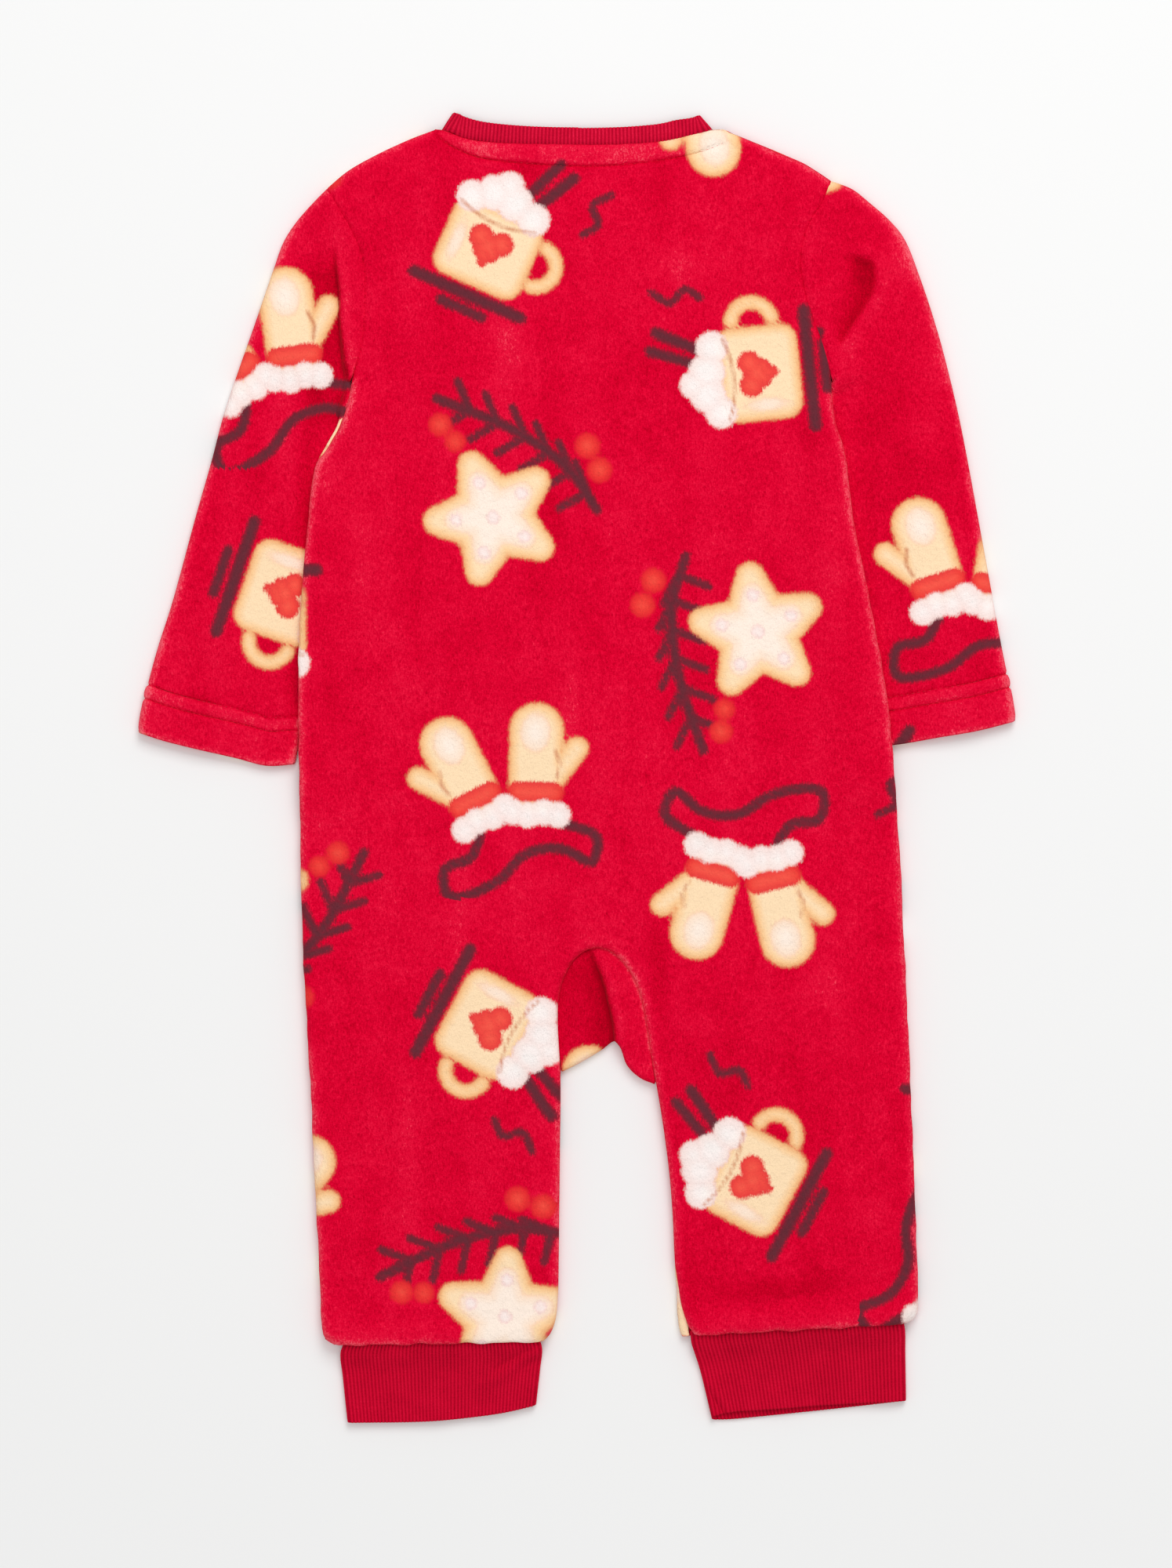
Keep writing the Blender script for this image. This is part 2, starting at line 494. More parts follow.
def creases(piece, x, y, amount=1.0):
    out = np.zeros_like(x)
    for k, (height, width, points) in enumerate(CREASES[piece]):
        d, s, _ = nearest(x, y, thin(spline(points), 2.5), 3.0 * width)
        ends = smooth(s / 0.3) * smooth((1 - s) / 0.3)
        w = 0.8 * width * (1 + 0.22 * np.sin(7 * s + 1.3 * k))
        out += amount * height * ends * (1 + 0.25 * np.sin(9 * s + 2.1 * k)) * np.exp(-(d / w) ** 2)
    return out


def nap_of(piece, x, y):
    out = 0.1 * waves(x, y, 38.0, 31, 2.2) + 0.08 * waves(x, y, 16.0, 32, 1.6)
    for cx, cy, rx, ry, turn, amount in NAP[piece]:
        c, s = math.cos(math.radians(turn)), math.sin(math.radians(turn))
        u, v = (x - cx) * c + (y - cy) * s, -(x - cx) * s + (y - cy) * c
        out = out + amount * np.exp(-(u / rx) ** 2 - (v / ry) ** 2)
    return out


# ---------------------------------------------------------------- the printed design
def disc(p, x, y, r):
    return np.hypot(p[:, 0] - x, p[:, 1] - y) - r


def oval(p, x, y, rx, ry, turn=0.0):
    c, s = math.cos(math.radians(turn)), math.sin(math.radians(turn))
    u, v = (p[:, 0] - x) * c + (p[:, 1] - y) * s, -(p[:, 0] - x) * s + (p[:, 1] - y) * c
    return (np.hypot(u / rx, v / ry) - 1) * min(rx, ry)


def stroke(p, points, r):
    a, b = np.array(points[:-1], float), np.array(points[1:], float)
    ab = b - a
    ap = p[:, None] - a
    t = np.clip((ap * ab).sum(-1) / np.maximum((ab ** 2).sum(1), 1e-9), 0, 1)
    return np.sqrt(((ap - ab * t[..., None]) ** 2).sum(-1)).min(1) - r


def arc(x, y, r, a0, a1, n=10):
    t = np.radians(np.linspace(a0, a1, n))
    return [(x + r * math.cos(k), y + r * math.sin(k)) for k in t]


def slab(p, x, y, hx, hy, r):
    q = np.abs(p - (x, y)) - (hx - r, hy - r)
    return np.hypot(np.maximum(q[:, 0], 0), np.maximum(q[:, 1], 0)) + np.minimum(q.max(1), 0) - r


def star(p, x, y, r, inner, soft, turn=0.0):
    """A five-armed star as a signed distance, its tips rounded by soft."""
    k = np.radians(90 + turn + 36 * np.arange(10))
    rad = np.where(np.arange(10) % 2 == 0, r - soft, inner - soft)
    v = np.stack([x + rad * np.cos(k), y + rad * np.sin(k)], 1)
    d = stroke(p, np.vstack([v, v[:1]]), 0.0)
    inside = np.zeros(len(p), bool)
    for i in range(10):
        a, b = v[i], v[(i + 1) % 10]
        cond = (a[1] > p[:, 1]) != (b[1] > p[:, 1])
        with np.errstate(divide="ignore", invalid="ignore"):
            xi = (b[0] - a[0]) * (p[:, 1] - a[1]) / (b[1] - a[1]) + a[0]
        inside ^= cond & (p[:, 0] < xi)
    return np.where(inside, -d, d) - soft


def least(*fields):
    return np.min(np.stack(fields), axis=0)


FAR = 6.0
LAYERS = ("dark", "tan", "bright", "cream", "white", "line")


def turned(p, x, y, degrees):
    c, s = math.cos(math.radians(degrees)), math.sin(math.radians(degrees))
    q = p - (x, y)
    return np.stack([q[:, 0] * c + q[:, 1] * s, -q[:, 0] * s + q[:, 1] * c], 1)


def draw_mittens(p):
    """Two fur-cuffed mittens on a cord."""
    f = {k: np.full(len(p), FAR) for k in LAYERS}
    cord_line = spline(((-13, -23), (-19, -31), (-30, -33), (-31, -44), (-12, -43), (2, -35), (16, -36), (27, -44), (31, -35), (22, -28), (15, -24)), 5)
    f["dark"] = stroke(p, cord_line, 2.2)
    for x, y, turn, side in ((-14.5, 2, 13, -1), (15, -1, -15, 1)):
        q = turned(p, x, y, turn) * (side, 1)
        f["tan"] = least(f["tan"], stroke(q, ((0, -9), (0, 13)), 11.0), stroke(q, ((8, -5), (16, 6)), 4.9))
        f["bright"] = least(f["bright"], stroke(q, ((-7.2, -11.5), (7.2, -11.5)), 4.2))
        f["cream"] = least(f["cream"], oval(q, -0.5, 12, 6.2, 8.0))
        f["white"] = least(f["white"], *[disc(q, cx, -20 + dy, 5.3) for cx, dy in ((-9, 0.5), (-3, -0.6), (3.2, 0.5), (9, -0.4))])
        f["line"] = least(f["line"], stroke(q, ((7.4, 5.2), (9.6, -0.4), (8.2, -5.6)), 0.75))
    return f


def draw_star(p):
    """A star-shaped iced biscuit over a fir twig with berries."""
    f = {k: np.full(len(p), FAR) for k in LAYERS}
    stem = spline(((-37, -12), (-20, -23), (6, -29), (38, -29)), 6)
    parts = [stroke(p, stem, 2.2)]
    for x, y in ((-31, -17), (-22, -22), (-11, -25.5), (0, -28), (12, -29), (24, -29.5)):
        parts.append(stroke(p, ((x, y), (x + 8, y + 10)), 1.8))
        parts.append(stroke(p, ((x, y), (x + 9, y - 9)), 1.8))
    f["dark"] = least(*parts)
    f["bright"] = least(disc(p, -32, -27, 5.2), disc(p, -24, -34, 5.2), disc(p, 33, -20, 4.8), disc(p, 25, -16, 4.4))
    f["tan"] = star(p, 0, 6, 28, 16.0, 6.0, 8)
    f["cream"] = star(p, 0, 6, 19.5, 10.5, 4.5, 8)
    k = np.radians(98 + 72 * np.arange(5))
    f["white"] = least(*[disc(p, 14.5 * math.cos(t), 6 + 14.5 * math.sin(t), 2.6) for t in k], disc(p, 0, 6, 2.8))
    return f


def draw_mug(p):
    """A mug with marshmallows and a cinnamon stick, on a saucer."""
    f = {k: np.full(len(p), FAR) for k in LAYERS}
    f["dark"] = least(stroke(p, ((-25, -26), (21, -26)), 2.6), stroke(p, ((-11, -32), (7, -32)), 2.2),
                      stroke(p, ((7, 12), (18, 33)), 2.5), stroke(p, ((2, 14), (11, 36)), 2.3),
                      stroke(p, spline(((30, 14), (34, 20), (29, 26), (34, 33)), 5), 1.7))
    f["tan"] = least(slab(p, -2, -6, 19, 16.5, 7.0), stroke(p, arc(18, -5, 8.2, -80, 80), 3.1))
    drop = [disc(p, -2 + k, y, r) for k, y, r in ((-4.4, -2.6, 4.9), (4.4, -2.6, 4.9), (0, -5.2, 5.0), (-2.2, -7.4, 3.6),
                                                  (2.2, -7.4, 3.6), (0, -9.6, 3.2), (0, -12.4, 1.9))]
    f["bright"] = least(*drop)
    f["cream"] = oval(p, -14.5, -8, 2.8, 9.0)
    foam = [disc(p, x, y, r) for x, y, r in ((-16, 10.5, 6.4), (-8.5, 15, 7.2), (0.5, 14.5, 7.4), (10, 11.5, 6.6), (-4, 20, 5.8))]
    f["white"] = least(*foam)
    f["line"] = stroke(p, arc(-3, 46, 42, -113, -68), 0.7)
    return f


DRAW = (draw_mittens, draw_star, draw_mug)
# how the design is repeated on each piece: step across and along, turn of the whole, and its start
REPEAT = {
    "back": (112.0, 122.0, 0.0, (-36.0, -1.0)), "front_left": (112.0, 122.0, 0.0, (-92.0, 158.0)),
    "front_right": (112.0, 122.0, 0.0, (62.0, -250.0)), "sleeve_left": (112.0, 122.0, 9.0, (-148.0, 196.0)),
    "sleeve_right": (112.0, 122.0, -9.0, (178.0, 96.0)), "gusset": (112.0, 122.0, 0.0, (-12.0, -158.0)),
}
MOTIF = 1.16          # scale of each motif
TURNS = (14, -72, 158, 96, -24, 205, 62, -118, 180)


def printed(piece, x, y):
    """The design's layers at points of a piece: an array of signed distances, a column a layer."""
    p = np.stack([np.ravel(x), np.ravel(y)], 1)
    out = np.full((len(p), len(LAYERS)), FAR)
    across, along, turn, (x0, y0) = REPEAT[piece]
    lo, hi = p.min(0) - 60, p.max(0) + 60
    c, s = math.cos(math.radians(turn)), math.sin(math.radians(turn))
    n = 12
    for i in range(-n, n + 1):
        for j in range(-n, n + 1):
            u, v = i * across, (j + 0.5 * (i % 2)) * along
            cx, cy = x0 + u * c - v * s, y0 + u * s + v * c
            if not (lo[0] < cx < hi[0] and lo[1] < cy < hi[1]):
                continue
            k = np.nonzero((np.abs(p[:, 0] - cx) < 60) & (np.abs(p[:, 1] - cy) < 60))[0]
            if not len(k):
                continue
            index = (i + 2 * j) % 9
            local = turned(p[k], cx, cy, TURNS[index] + turn) / MOTIF
            layers = DRAW[(i + j) % 3](local)
            for m, name in enumerate(LAYERS):
                out[k, m] = np.minimum(out[k, m], layers[name] * MOTIF)
    return np.clip(out, -FAR, FAR)


# ---------------------------------------------------------------- shells
def point_normals(points, quads):
    a, b, c, d = (points[quads[:, k]] for k in range(4))
    n = np.cross(c - a, d - b)
    n /= np.maximum(np.linalg.norm(n, axis=1), 1e-12)[:, None]
    out = np.zeros_like(points)
    for k in range(4):
        np.add.at(out, quads[:, k], n)
    return out / np.maximum(np.linalg.norm(out, axis=1), 1e-12)[:, None]


def open_edges(quads, count):
    e = np.concatenate([quads[:, [0, 1]], quads[:, [1, 2]], quads[:, [2, 3]], quads[:, [3, 0]]])
    key = e.min(1).astype(np.int64) * count + e.max(1)
    _, back, n = np.unique(key, return_inverse=True, return_counts=True)
    return e[n[back.ravel()] == 1]


def build_mesh(name, points, faces, attributes, material_of, body=BODY, smooth_faces=True):
    """A mesh object from points in mm and faces of four corners, with its point attributes."""
    mesh = bpy.data.meshes.new(name)
    faces = np.asarray(faces, np.int32)
    n, corners = faces.shape
    mesh.vertices.add(len(points))
    where = (np.asarray(points) + (SHIFT[0], SHIFT[1], 0)) * MM
    mesh.vertices.foreach_set("co", where.astype(np.float32).ravel())
    mesh.loops.add(n * corners)
    mesh.loops.foreach_set("vertex_index", faces.ravel())
    mesh.polygons.add(n)
    mesh.polygons.foreach_set("loop_start", np.arange(0, n * corners, corners, dtype=np.int32))
    mesh.update(calc_edges=True)
    mesh.validate()
    for key, values in attributes.items():
        values = np.asarray(values, np.float32)
        kind, field = ("FLOAT_VECTOR", "vector") if values.ndim == 2 else ("FLOAT", "value")
        mesh.attributes.new(key, kind, "POINT").data.foreach_set(field, values.ravel())
    if smooth_faces:
        mesh.shade_smooth()
    obj = bpy.data.objects.new(name, mesh)
    bpy.context.scene.collection.objects.link(obj)
    mesh.materials.append(material_of)
    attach(obj, body)
    return obj


RIM_TURNS = (50, 0, -50)      # degrees round a rim, upper side to under side


def shell(name, points, quads, half, upper, under, material_of, rim=0.6, body=BODY):
    """A closed sheet of cloth: both sides of its middle surface, joined by a rounded rim.

    upper and under hold the point attributes of each side; rim is how far the edge stands out as
    a share of half the wall, one number or one for each point."""
    points, quads = np.asarray(points, float), np.asarray(quads)
    count = len(points)
    n = point_normals(points, quads)
    half = np.broadcast_to(half, count)[:, None]
    rim = np.broadcast_to(rim, count)[:, None]
    edges = open_edges(quads, count)
    away = np.zeros_like(points)
    o = np.cross(points[edges[:, 1]] - points[edges[:, 0]], n[edges].mean(1))
    o /= np.maximum(np.linalg.norm(o, axis=1), 1e-12)[:, None]
    np.add.at(away, edges[:, 0], o)
    np.add.at(away, edges[:, 1], o)
    ids = np.unique(edges)
    away = away[ids] / np.maximum(np.linalg.norm(away[ids], axis=1), 1e-12)[:, None]
    place = np.zeros(count, int)
    place[ids] = np.arange(len(ids))
    loops = [points[ids] + half[ids] * (n[ids] * math.sin(math.radians(t)) + away * rim[ids] * math.cos(math.radians(t)))
             for t in RIM_TURNS]
    every = np.vstack([points + n * half, points - n * half, *loops])
    rows = [edges] + [2 * count + k * len(ids) + place[edges] for k in range(len(loops))] + [edges + count]
    faces = [quads, quads[:, ::-1] + count]
    for r, s in zip(rows, rows[1:]):
        faces.append(np.stack([r[:, 1], r[:, 0], s[:, 0], s[:, 1]], 1))
    attributes = {}
    for key, top in upper.items():
        low = np.broadcast_to(under[key], np.shape(top))
        attributes[key] = np.concatenate([top, low] + [(top if t >= 0 else low)[ids] for t in RIM_TURNS])
    faces = np.vstack(faces)
    return build_mesh(name, every, faces, attributes, material_of, body)


def area_of(points, quads):
    a, b, c, d = (np.asarray(points)[np.asarray(quads)[:, k]] for k in range(4))
    return 0.5 * np.linalg.norm(np.cross(c - a, d - b), axis=1).sum() * 1e-6


def fleece_attributes(piece, x, y, where, nap):
    """Attributes of a printed side; where is the place in the flat cloth that the design is read from."""
    layers = printed(piece, where[..., 0], where[..., 1])
    return {"print_a": layers[:, :3], "print_b": layers[:, 3:], "nap": np.ravel(nap)}


PLAIN = {"print_a": np.full(3, FAR), "print_b": np.full(3, FAR), "nap": np.float64(-0.1)}


def plain_side(count, nap=-0.1):
    return {"print_a": np.full((count, 3), FAR), "print_b": np.full((count, 3), FAR), "nap": np.full(count, nap)}


# ---------------------------------------------------------------- body panels
SEAM = 0.12           # between two visible pieces at a flat seam
# how far the back's edge stays inside the front's, where the front peeks out: y, amount
PEEK_SIDE = ((200.0, 0.0), (176.0, 0.2), (168.0, 1.3), (155.0, 1.7), (146.0, 1.2), (138.0, 0.0))
PEEK_INSEAM = ((-228.0, 0.0), (-236.0, 0.7), (-243.0, 1.4), (-248.0, 2.4), (-254.0, 3.9), (-258.0, 4.7), (-262.0, 5.3))
# and how far its cloth turns over on top there
ROLL = ((-236.0, 0.2), (-243.0, 0.8), (-248.0, 1.7), (-254.0, 2.9), (-256.5, 3.0), (-259.0, 2.2), (-261.5, 1.5))


def table_of(rows, y):
    r = np.array(sorted(rows))
    return np.interp(y, r[:, 0], r[:, 1])


def panel_lines(side, back):
    """The outline of one half, middle of the wall, with the breaks between its lines."""
    s, half = SIDE[side], FLEECE / 2
    slot = 0.0 if back else SLOT
    neck = spline(NECK_BACK if back else NECK_FRONT, 14)
    line = TABLE["shoulder"][side]
    share = lengths(line) / lengths(line)[-1]
    shy = 0.8 * bump(share, 0.45, 0.3) if back and side == "right" else 0 * share
    shoulder = trimmed(inset(line, s * (half + shy)), start=SEAM / 2)
    arm = TABLE["armhole"][side]
    to_end = lengths(arm)[-1] - lengths(arm)
    arm = trimmed(inset(arm, -s * (SEAM / 2 + (half - SEAM / 2) * (1 - smooth(to_end / 9.0)))), start=half)
    line = TABLE["side"][side]
    peek = table_of(PEEK_SIDE, line[:, 1]) if back and side == "left" else 0 * line[:, 1]
    uneven = 0.16 * waves(line[:, 0] * 0, line[:, 1], 7.0, 51) + 0.12 * waves(line[:, 0] * 0, line[:, 1], 19.0, 52)
    flank = trimmed(inset(line, -s * (half + peek + uneven)), end=SEAM / 2)
    outer, outer_breaks = joined(arm, flank)
    neck_line = neck if side == "left" else neck[::-1]
    neck_line = trimmed(inset(half_neck(neck_line), s * SEAM / 2), start=half, end=slot)
    if back:
        neck_line[-1] = (float(centre_x(285.24)), 285.24)
    top, top_breaks = joined(shoulder, neck_line)
    centre = CENTRE_LINE[CENTRE_LINE[:, 1] < neck_line[-1, 1] - 0.4]
    if slot:
        away = np.where(centre[:, 1] > ZIP_END, slot,
                        SEAM / 2 + (slot - SEAM / 2) * smooth((centre[:, 1] - ZIP_END + 9.0) / 9.0))
        centre = centre + np.stack([s * away, 0 * away], 1)
    centre = np.vstack([neck_line[-1:], centre])
    line = TABLE["inseam"][side]
    y = line[:, 1]
    if back:
        peek = table_of(PEEK_INSEAM, y) if side == "right" else 0 * y
        inseam = inset(line, s * (half + peek))
    else:
        inseam = inset(line, s * (SEAM / 2 + (half - SEAM / 2) * smooth((-134.0 - y) / 7.0)))
        inseam[:, 0] = s * np.maximum(s * inseam[:, 0], s * centre[-1, 0])
    inseam = trimmed(inseam, end=1.2 if side == "right" and not back else SEAM / 2)
    centre[-1] = (centre[-1, 0], -81.4 if back else inseam[0, 1])
    inseam[0] = centre[-1]
    inner, inner_breaks = joined(centre, inseam)
    share = np.linspace(0, 1, 60)
    bottom = outer[-1] + (inner[-1] - outer[-1]) * share[:, None]
    bottom[:, 1] += (0.35 * np.sin(share * 31 + 1.0) + 0.25 * np.sin(share * 53 + s)) * np.sin(math.pi * share) ** 0.5 * (1 if back else 0.3)
    return dict(top=top, bottom=bottom, outer=outer, inner=inner, under=outer_breaks[1], crotch=inner_breaks[1],
                neck_point=top_breaks[1], shoulder=shoulder, arm=arm, flank=flank, neck=neck_line, inseam=inseam)


def half_neck(line):
    return line[:np.argmin(np.abs(line[:, 0] - centre_x(line[:, 1]))) + 1]


def share_at_y(line, y):
    s = lengths(line)
    i = max(int(np.argmax(line[:, 1] < y)), 1)
    t = (line[i - 1, 1] - y) / max(line[i - 1, 1] - line[i, 1], 1e-9)
    return (s[i - 1] + t * (s[i] - s[i - 1])) / s[-1]


# the topstitching below the neck rib, from shoulder to shoulder: x, y
TOPSTITCH = ((-64.6, 290.2), (-60.3, 286.2), (-46.6, 279.7), (-22.5, 276.5), (-5.2, 275.4), (12.1, 275.4),
             (35.5, 277.6), (54.5, 281.2), (67.1, 286.2), (70.4, 289.6))
ROWS_ARMHOLE = ((254.0, 270.0), (240.0, 254.0), (222.0, 235.5), (202.0, 214.5), (186.0, 195.5))
ROWS_TRUNK = (168.0, 156.0, 142.0, 120.0, 84.0, 40.0, 4.0, -14.0, -46.0)
ROWS_CROTCH = (-82.4, -84.2, -89.5, -97.0, -106.6, -119.2, -133.0, -141.0)


def panel_rows(halves):
    """Shares down the outer and inner edges of each half, the same count in all."""
    stops = []
    for h in halves:
        o, i = [0.0], [0.0]
        for y_out, y_in in ROWS_ARMHOLE:
            o.append(share_at_y(h["outer"], y_out))
            i.append(share_at_y(h["inner"], y_in if h["inner"][0, 1] > 275 else 
                                h["inner"][0, 1] + (176.8 - h["inner"][0, 1]) * (y_in - 285.2) / (176.8 - 285.2)))
        o.append(h["under"])
        i.append(share_at_y(h["inner"], 176.8))
        for y in ROWS_TRUNK:
            o.append(share_at_y(h["outer"], y))
            i.append(share_at_y(h["inner"], y))
        a, b = share_at_y(h["outer"], -78.0), share_at_y(h["outer"], -141.0)
        arch = [h["crotch"]] + [share_at_y(h["inner"], y) for y in ROWS_CROTCH[1:]]
        for k, share in enumerate(arch):
            o.append(a + (b - a) * k / (len(arch) - 1))
            i.append(share)
        for share in (0.3, 0.65, 1.0):
            o.append(b + share * (1 - b))
            i.append(arch[-1] + share * (1 - arch[-1]))
        stops.append((np.array(o), np.array(i)))
    crotch_stop = 1 + len(ROWS_ARMHOLE) + 1 + len(ROWS_TRUNK)
    last = len(stops[0][0]) - 1
    out = [([0.0], [0.0]) for _ in halves]
    mark = {}
    for k in range(last):
        far = [max((o[k + 1] - o[k]) * lengths(h["outer"])[-1], (i[k + 1] - i[k]) * lengths(h["inner"])[-1])
               for h, (o, i) in zip(halves, stops)]
        far = max(max(far), 0.4)
        pitch = 0.8 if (k == 0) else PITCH
        if crotch_stop <= k < crotch_stop + 4:
            pitch = 0.55 * PITCH
        t = spread(far, pitch, start=(k == 0), end=(k == last - 1 or k == crotch_stop - 1))
        if k == crotch_stop:
            mark["crotch"] = len(out[0][0]) - 1
        for (o, i), (vo, vi) in zip(stops, out):
            vo.extend(o[k] + (o[k + 1] - o[k]) * t[1:])
            vi.extend(i[k] + (i[k + 1] - i[k]) * t[1:])
    return [(np.array(a), np.array(b)) for a, b in out], mark


def panel_points(h, v_o, v_i):
    """Points of one half: rows down the panel, columns from the outer edge to the inner edge."""
    wide = np.linalg.norm(at(h["outer"], v_o) - at(h["inner"], v_i), axis=1)
    wide[0] = wide[1]
    n = int(118 / PITCH)
    e0 = EDGE_FINE[None] / wide[:, None]
    e1 = 1 - e0[:, ::-1]
    mid = e0[:, -1:] + (e1[:, :1] - e0[:, -1:]) * np.linspace(0, 1, n + 1)[None, 1:-1]
    u = np.hstack([e0, mid, e1])
    fade = np.clip(1 - v_o / 0.33, 0, 1)[:, None] ** 2
    u_top = u + (np.interp(u, [0, 0.4, 1], [0, h["neck_point"], 1]) - u) * fade
    t, b = at(h["top"], u_top), at(h["bottom"], u)
    l, r = at(h["outer"], v_o)[:, None], at(h["inner"], v_i)[:, None]
    c00, c01 = h["top"][0], h["top"][-1]
    c10, c11 = h["bottom"][0], h["bottom"][-1]
    uu, vv = u[..., None], v_o[:, None, None]
    return ((1 - uu) * l + uu * r + (1 - vv) * t + vv * b
            - ((1 - uu) * (1 - vv) * c00 + uu * (1 - vv) * c01 + (1 - uu) * vv * c10 + uu * vv * c11))


def grid_faces(rows, columns, at_row=0, ring=False, flip=False):
    r, c = np.meshgrid(np.arange(rows - 1), np.arange(columns if ring else columns - 1), indexing="ij")
    c2 = (c + 1) % columns
    q = np.stack([r * columns + c, (r + 1) * columns + c, (r + 1) * columns + c2, r * columns + c2], -1).reshape(-1, 4)
    return (q[:, ::-1] if flip else q) + at_row


def body_height(x, y, h, back, piece):
    """Height of the middle of a panel's wall, with its creases, stitching and puckers."""
    d_side = np.min([np.abs(nearest(x, y, thin(h[k], 1.0), 14)[0]) for k in ("shoulder", "flank")], axis=0)
    seam = h["inseam"] if back else h["inseam"][h["inseam"][:, 1] < -137.0]
    d_side = np.minimum(d_side, np.abs(nearest(x, y, thin(seam, 1.0), 14)[0]))
    d_hem = np.abs(nearest(x, y, h["bottom"], 40)[0])
    d_arm = np.abs(nearest(x, y, thin(h["arm"], 1.5), 14)[0])
    d_neck = np.abs(nearest(x, y, thin(h["neck"], 1.0), 24)[0])
    above, share, _ = nearest(x, y, thin(spline(TOPSTITCH), 1.0), 24)
    if back:
        soft = smooth(d_arm / 7.0)
        level = back_level(x, y) + soft * (creases(piece, x, y) + 0.22 * waves(x, y, 46.0, 5, 2.0) + 0.07 * waves(x, y, 9.0, 6))
        # the strip between the neck seam and its topstitch stands up a little, and the stitching sinks
        level = level + 0.45 * smooth((above - 0.3) / 2.0) * (above < 20) * smooth((d_neck + 0.3) / 2.4)
        level = level - 0.8 * bump(above, 0.0, 0.75) + 0.12 * bump(above, -2.6, 1.6)
        level = level - 1.1 * bump(d_neck, 0.0, 1.3) - 0.8 * bump(d_arm, 0.0, 1.5)
        pucker = 0.5 + 0.5 * waves(x, 0 * y, 13.0, 8)
        level = level + bump(d_hem, 4.4, 4.0) * (0.3 + 0.45 * pucker)
        z = curled(level, seam_level(x, y), d_side, 1)
        edge = 7.15
        t = np.clip(d_hem / 1.7, 0, 1)
        z = np.minimum(z, edge + (np.maximum(z, edge) - edge) * np.sqrt(1 - (1 - t) ** 2))
    else:
        level = front_level(x, y) + creases(piece, x, y) * (1 - side_lift(x, y)) * smooth(d_side / 6.0)
        z = curled(level, seam_level(x, y), d_side, -1)
    return z, dict(side=d_side, hem=d_hem, arm=d_arm, neck=d_neck, above=above)


def nap_near_edges(d, back, x=0.0, y=0.0):
    """The pile stands up along edges and stitched strips, so it looks lighter there."""
    arch = smooth((-60.0 - y) / 8.0) * smooth((y + 134.0) / 12.0) * smooth((24.0 - x) / 10.0)
    out = 0.8 * (1 - 0.9 * arch) * np.exp(-(d["side"] / 2.2) ** 2) + 0.3 * np.exp(-(d["hem"] / 7.5) ** 2) + 0.45 * np.exp(-(d["hem"] / 1.5) ** 2)
    if back:
        strip = smooth((d["above"] - 0.3) / 1.2) * (d["above"] < 20)
        out = out + 0.55 * strip - 0.7 * bump(d["above"], 0.0, 0.9) - 0.5 * bump(d["neck"], 0.0, 1.0)
        out = out - 0.8 * bump(d["arm"], 0.0, 0.9)
    return out


def make_back(fleece):
    halves = [panel_lines(side, True) for side in ("left", "right")]
    shares, mark = panel_rows(halves)
    parts = []
    for side, h, (v_o, v_i) in zip(("left", "right"), halves, shares):
        grid = panel_points(h, v_o, v_i)
        k = mark["crotch"]
        if side == "right":
            grid[:k + 1, -1] = parts[0][0][:k + 1, -1]
        z, d = body_height(grid[..., 0], grid[..., 1], h, True, "back")
        nap = nap_of("back", grid[..., 0], grid[..., 1]) + nap_near_edges(d, True, grid[..., 0], grid[..., 1])
        if side == "right":
            z[:k + 1, -1] = parts[0][1][:k + 1, -1]
        parts.append((grid, z, nap))
    rows, columns = parts[0][1].shape
    ids = [np.arange(rows * columns).reshape(rows, columns), np.arange(rows * columns, 2 * rows * columns).reshape(rows, columns)]
    ids[1][:k + 1, -1] = ids[0][:k + 1, -1]
    points = np.vstack([np.dstack([g[..., 0], g[..., 1], z]).reshape(-1, 3) for g, z, _ in parts])
    nap = np.concatenate([n.ravel() for *_, n in parts])
    quads = []
    for j, i in enumerate(ids):
        q = np.stack([i[:-1, :-1], i[1:, :-1], i[1:, 1:], i[:-1, 1:]], -1).reshape(-1, 4)
        quads.append(q if j == 0 else q[:, ::-1])
    quads = np.vstack(quads)
    used, new = np.unique(quads, return_inverse=True)
    quads, points, nap = new.reshape(-1, 4), points[used], nap[used]
    obj = shell("back_cloth", points, quads, FLEECE / 2, fleece_attributes("back", points[:, 0], points[:, 1], points[:, :2], nap),
                plain_side(len(points)), fleece)
    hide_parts("back_panel")
    area = area_of(points, quads)
    return obj, area


def rolled(grid, z):
    """The right front's inner hem turned up and over, where it shows beside the back's edge."""
    n, radius, flat = len(EDGE_FINE), 1.23, EDGE_FINE[-1]
    edge, inward = grid[:, -1].copy(), grid[:, -n] - grid[:, -1]
    inward /= np.linalg.norm(inward, axis=1)[:, None]
    over = table_of(ROLL, edge[:, 1])
    turn = math.pi * radius
    whole = flat - radius + turn + np.maximum(over - radius, 0)
    q = np.linspace(0, 1, n)[None] * whole[:, None]
    angle = np.clip(q - (flat - radius), 0, turn) / radius
    dist = np.where(q < flat - radius, flat - q, radius - radius * np.sin(angle)) + np.clip(q - (flat - radius) - turn, 0, None)
    level = 1.0 + radius * (1 - np.cos(angle))
    w = smooth((-234.0 - edge[:, 1]) / 9.0)[:, None]
    place = edge[:, None] + inward[:, None] * dist[..., None]
    cloth = grid.copy()
    cloth[:, -n:] = grid[:, -n:] + w[..., None] * (edge[:, None] + inward[:, None] * (flat - q)[..., None] - grid[:, -n:])
    grid, z = grid.copy(), z.copy()
    grid[:, -n:] += w[..., None] * (place - grid[:, -n:])
    z[:, -n:] += w * (level - z[:, -n:])
    return grid, z, cloth


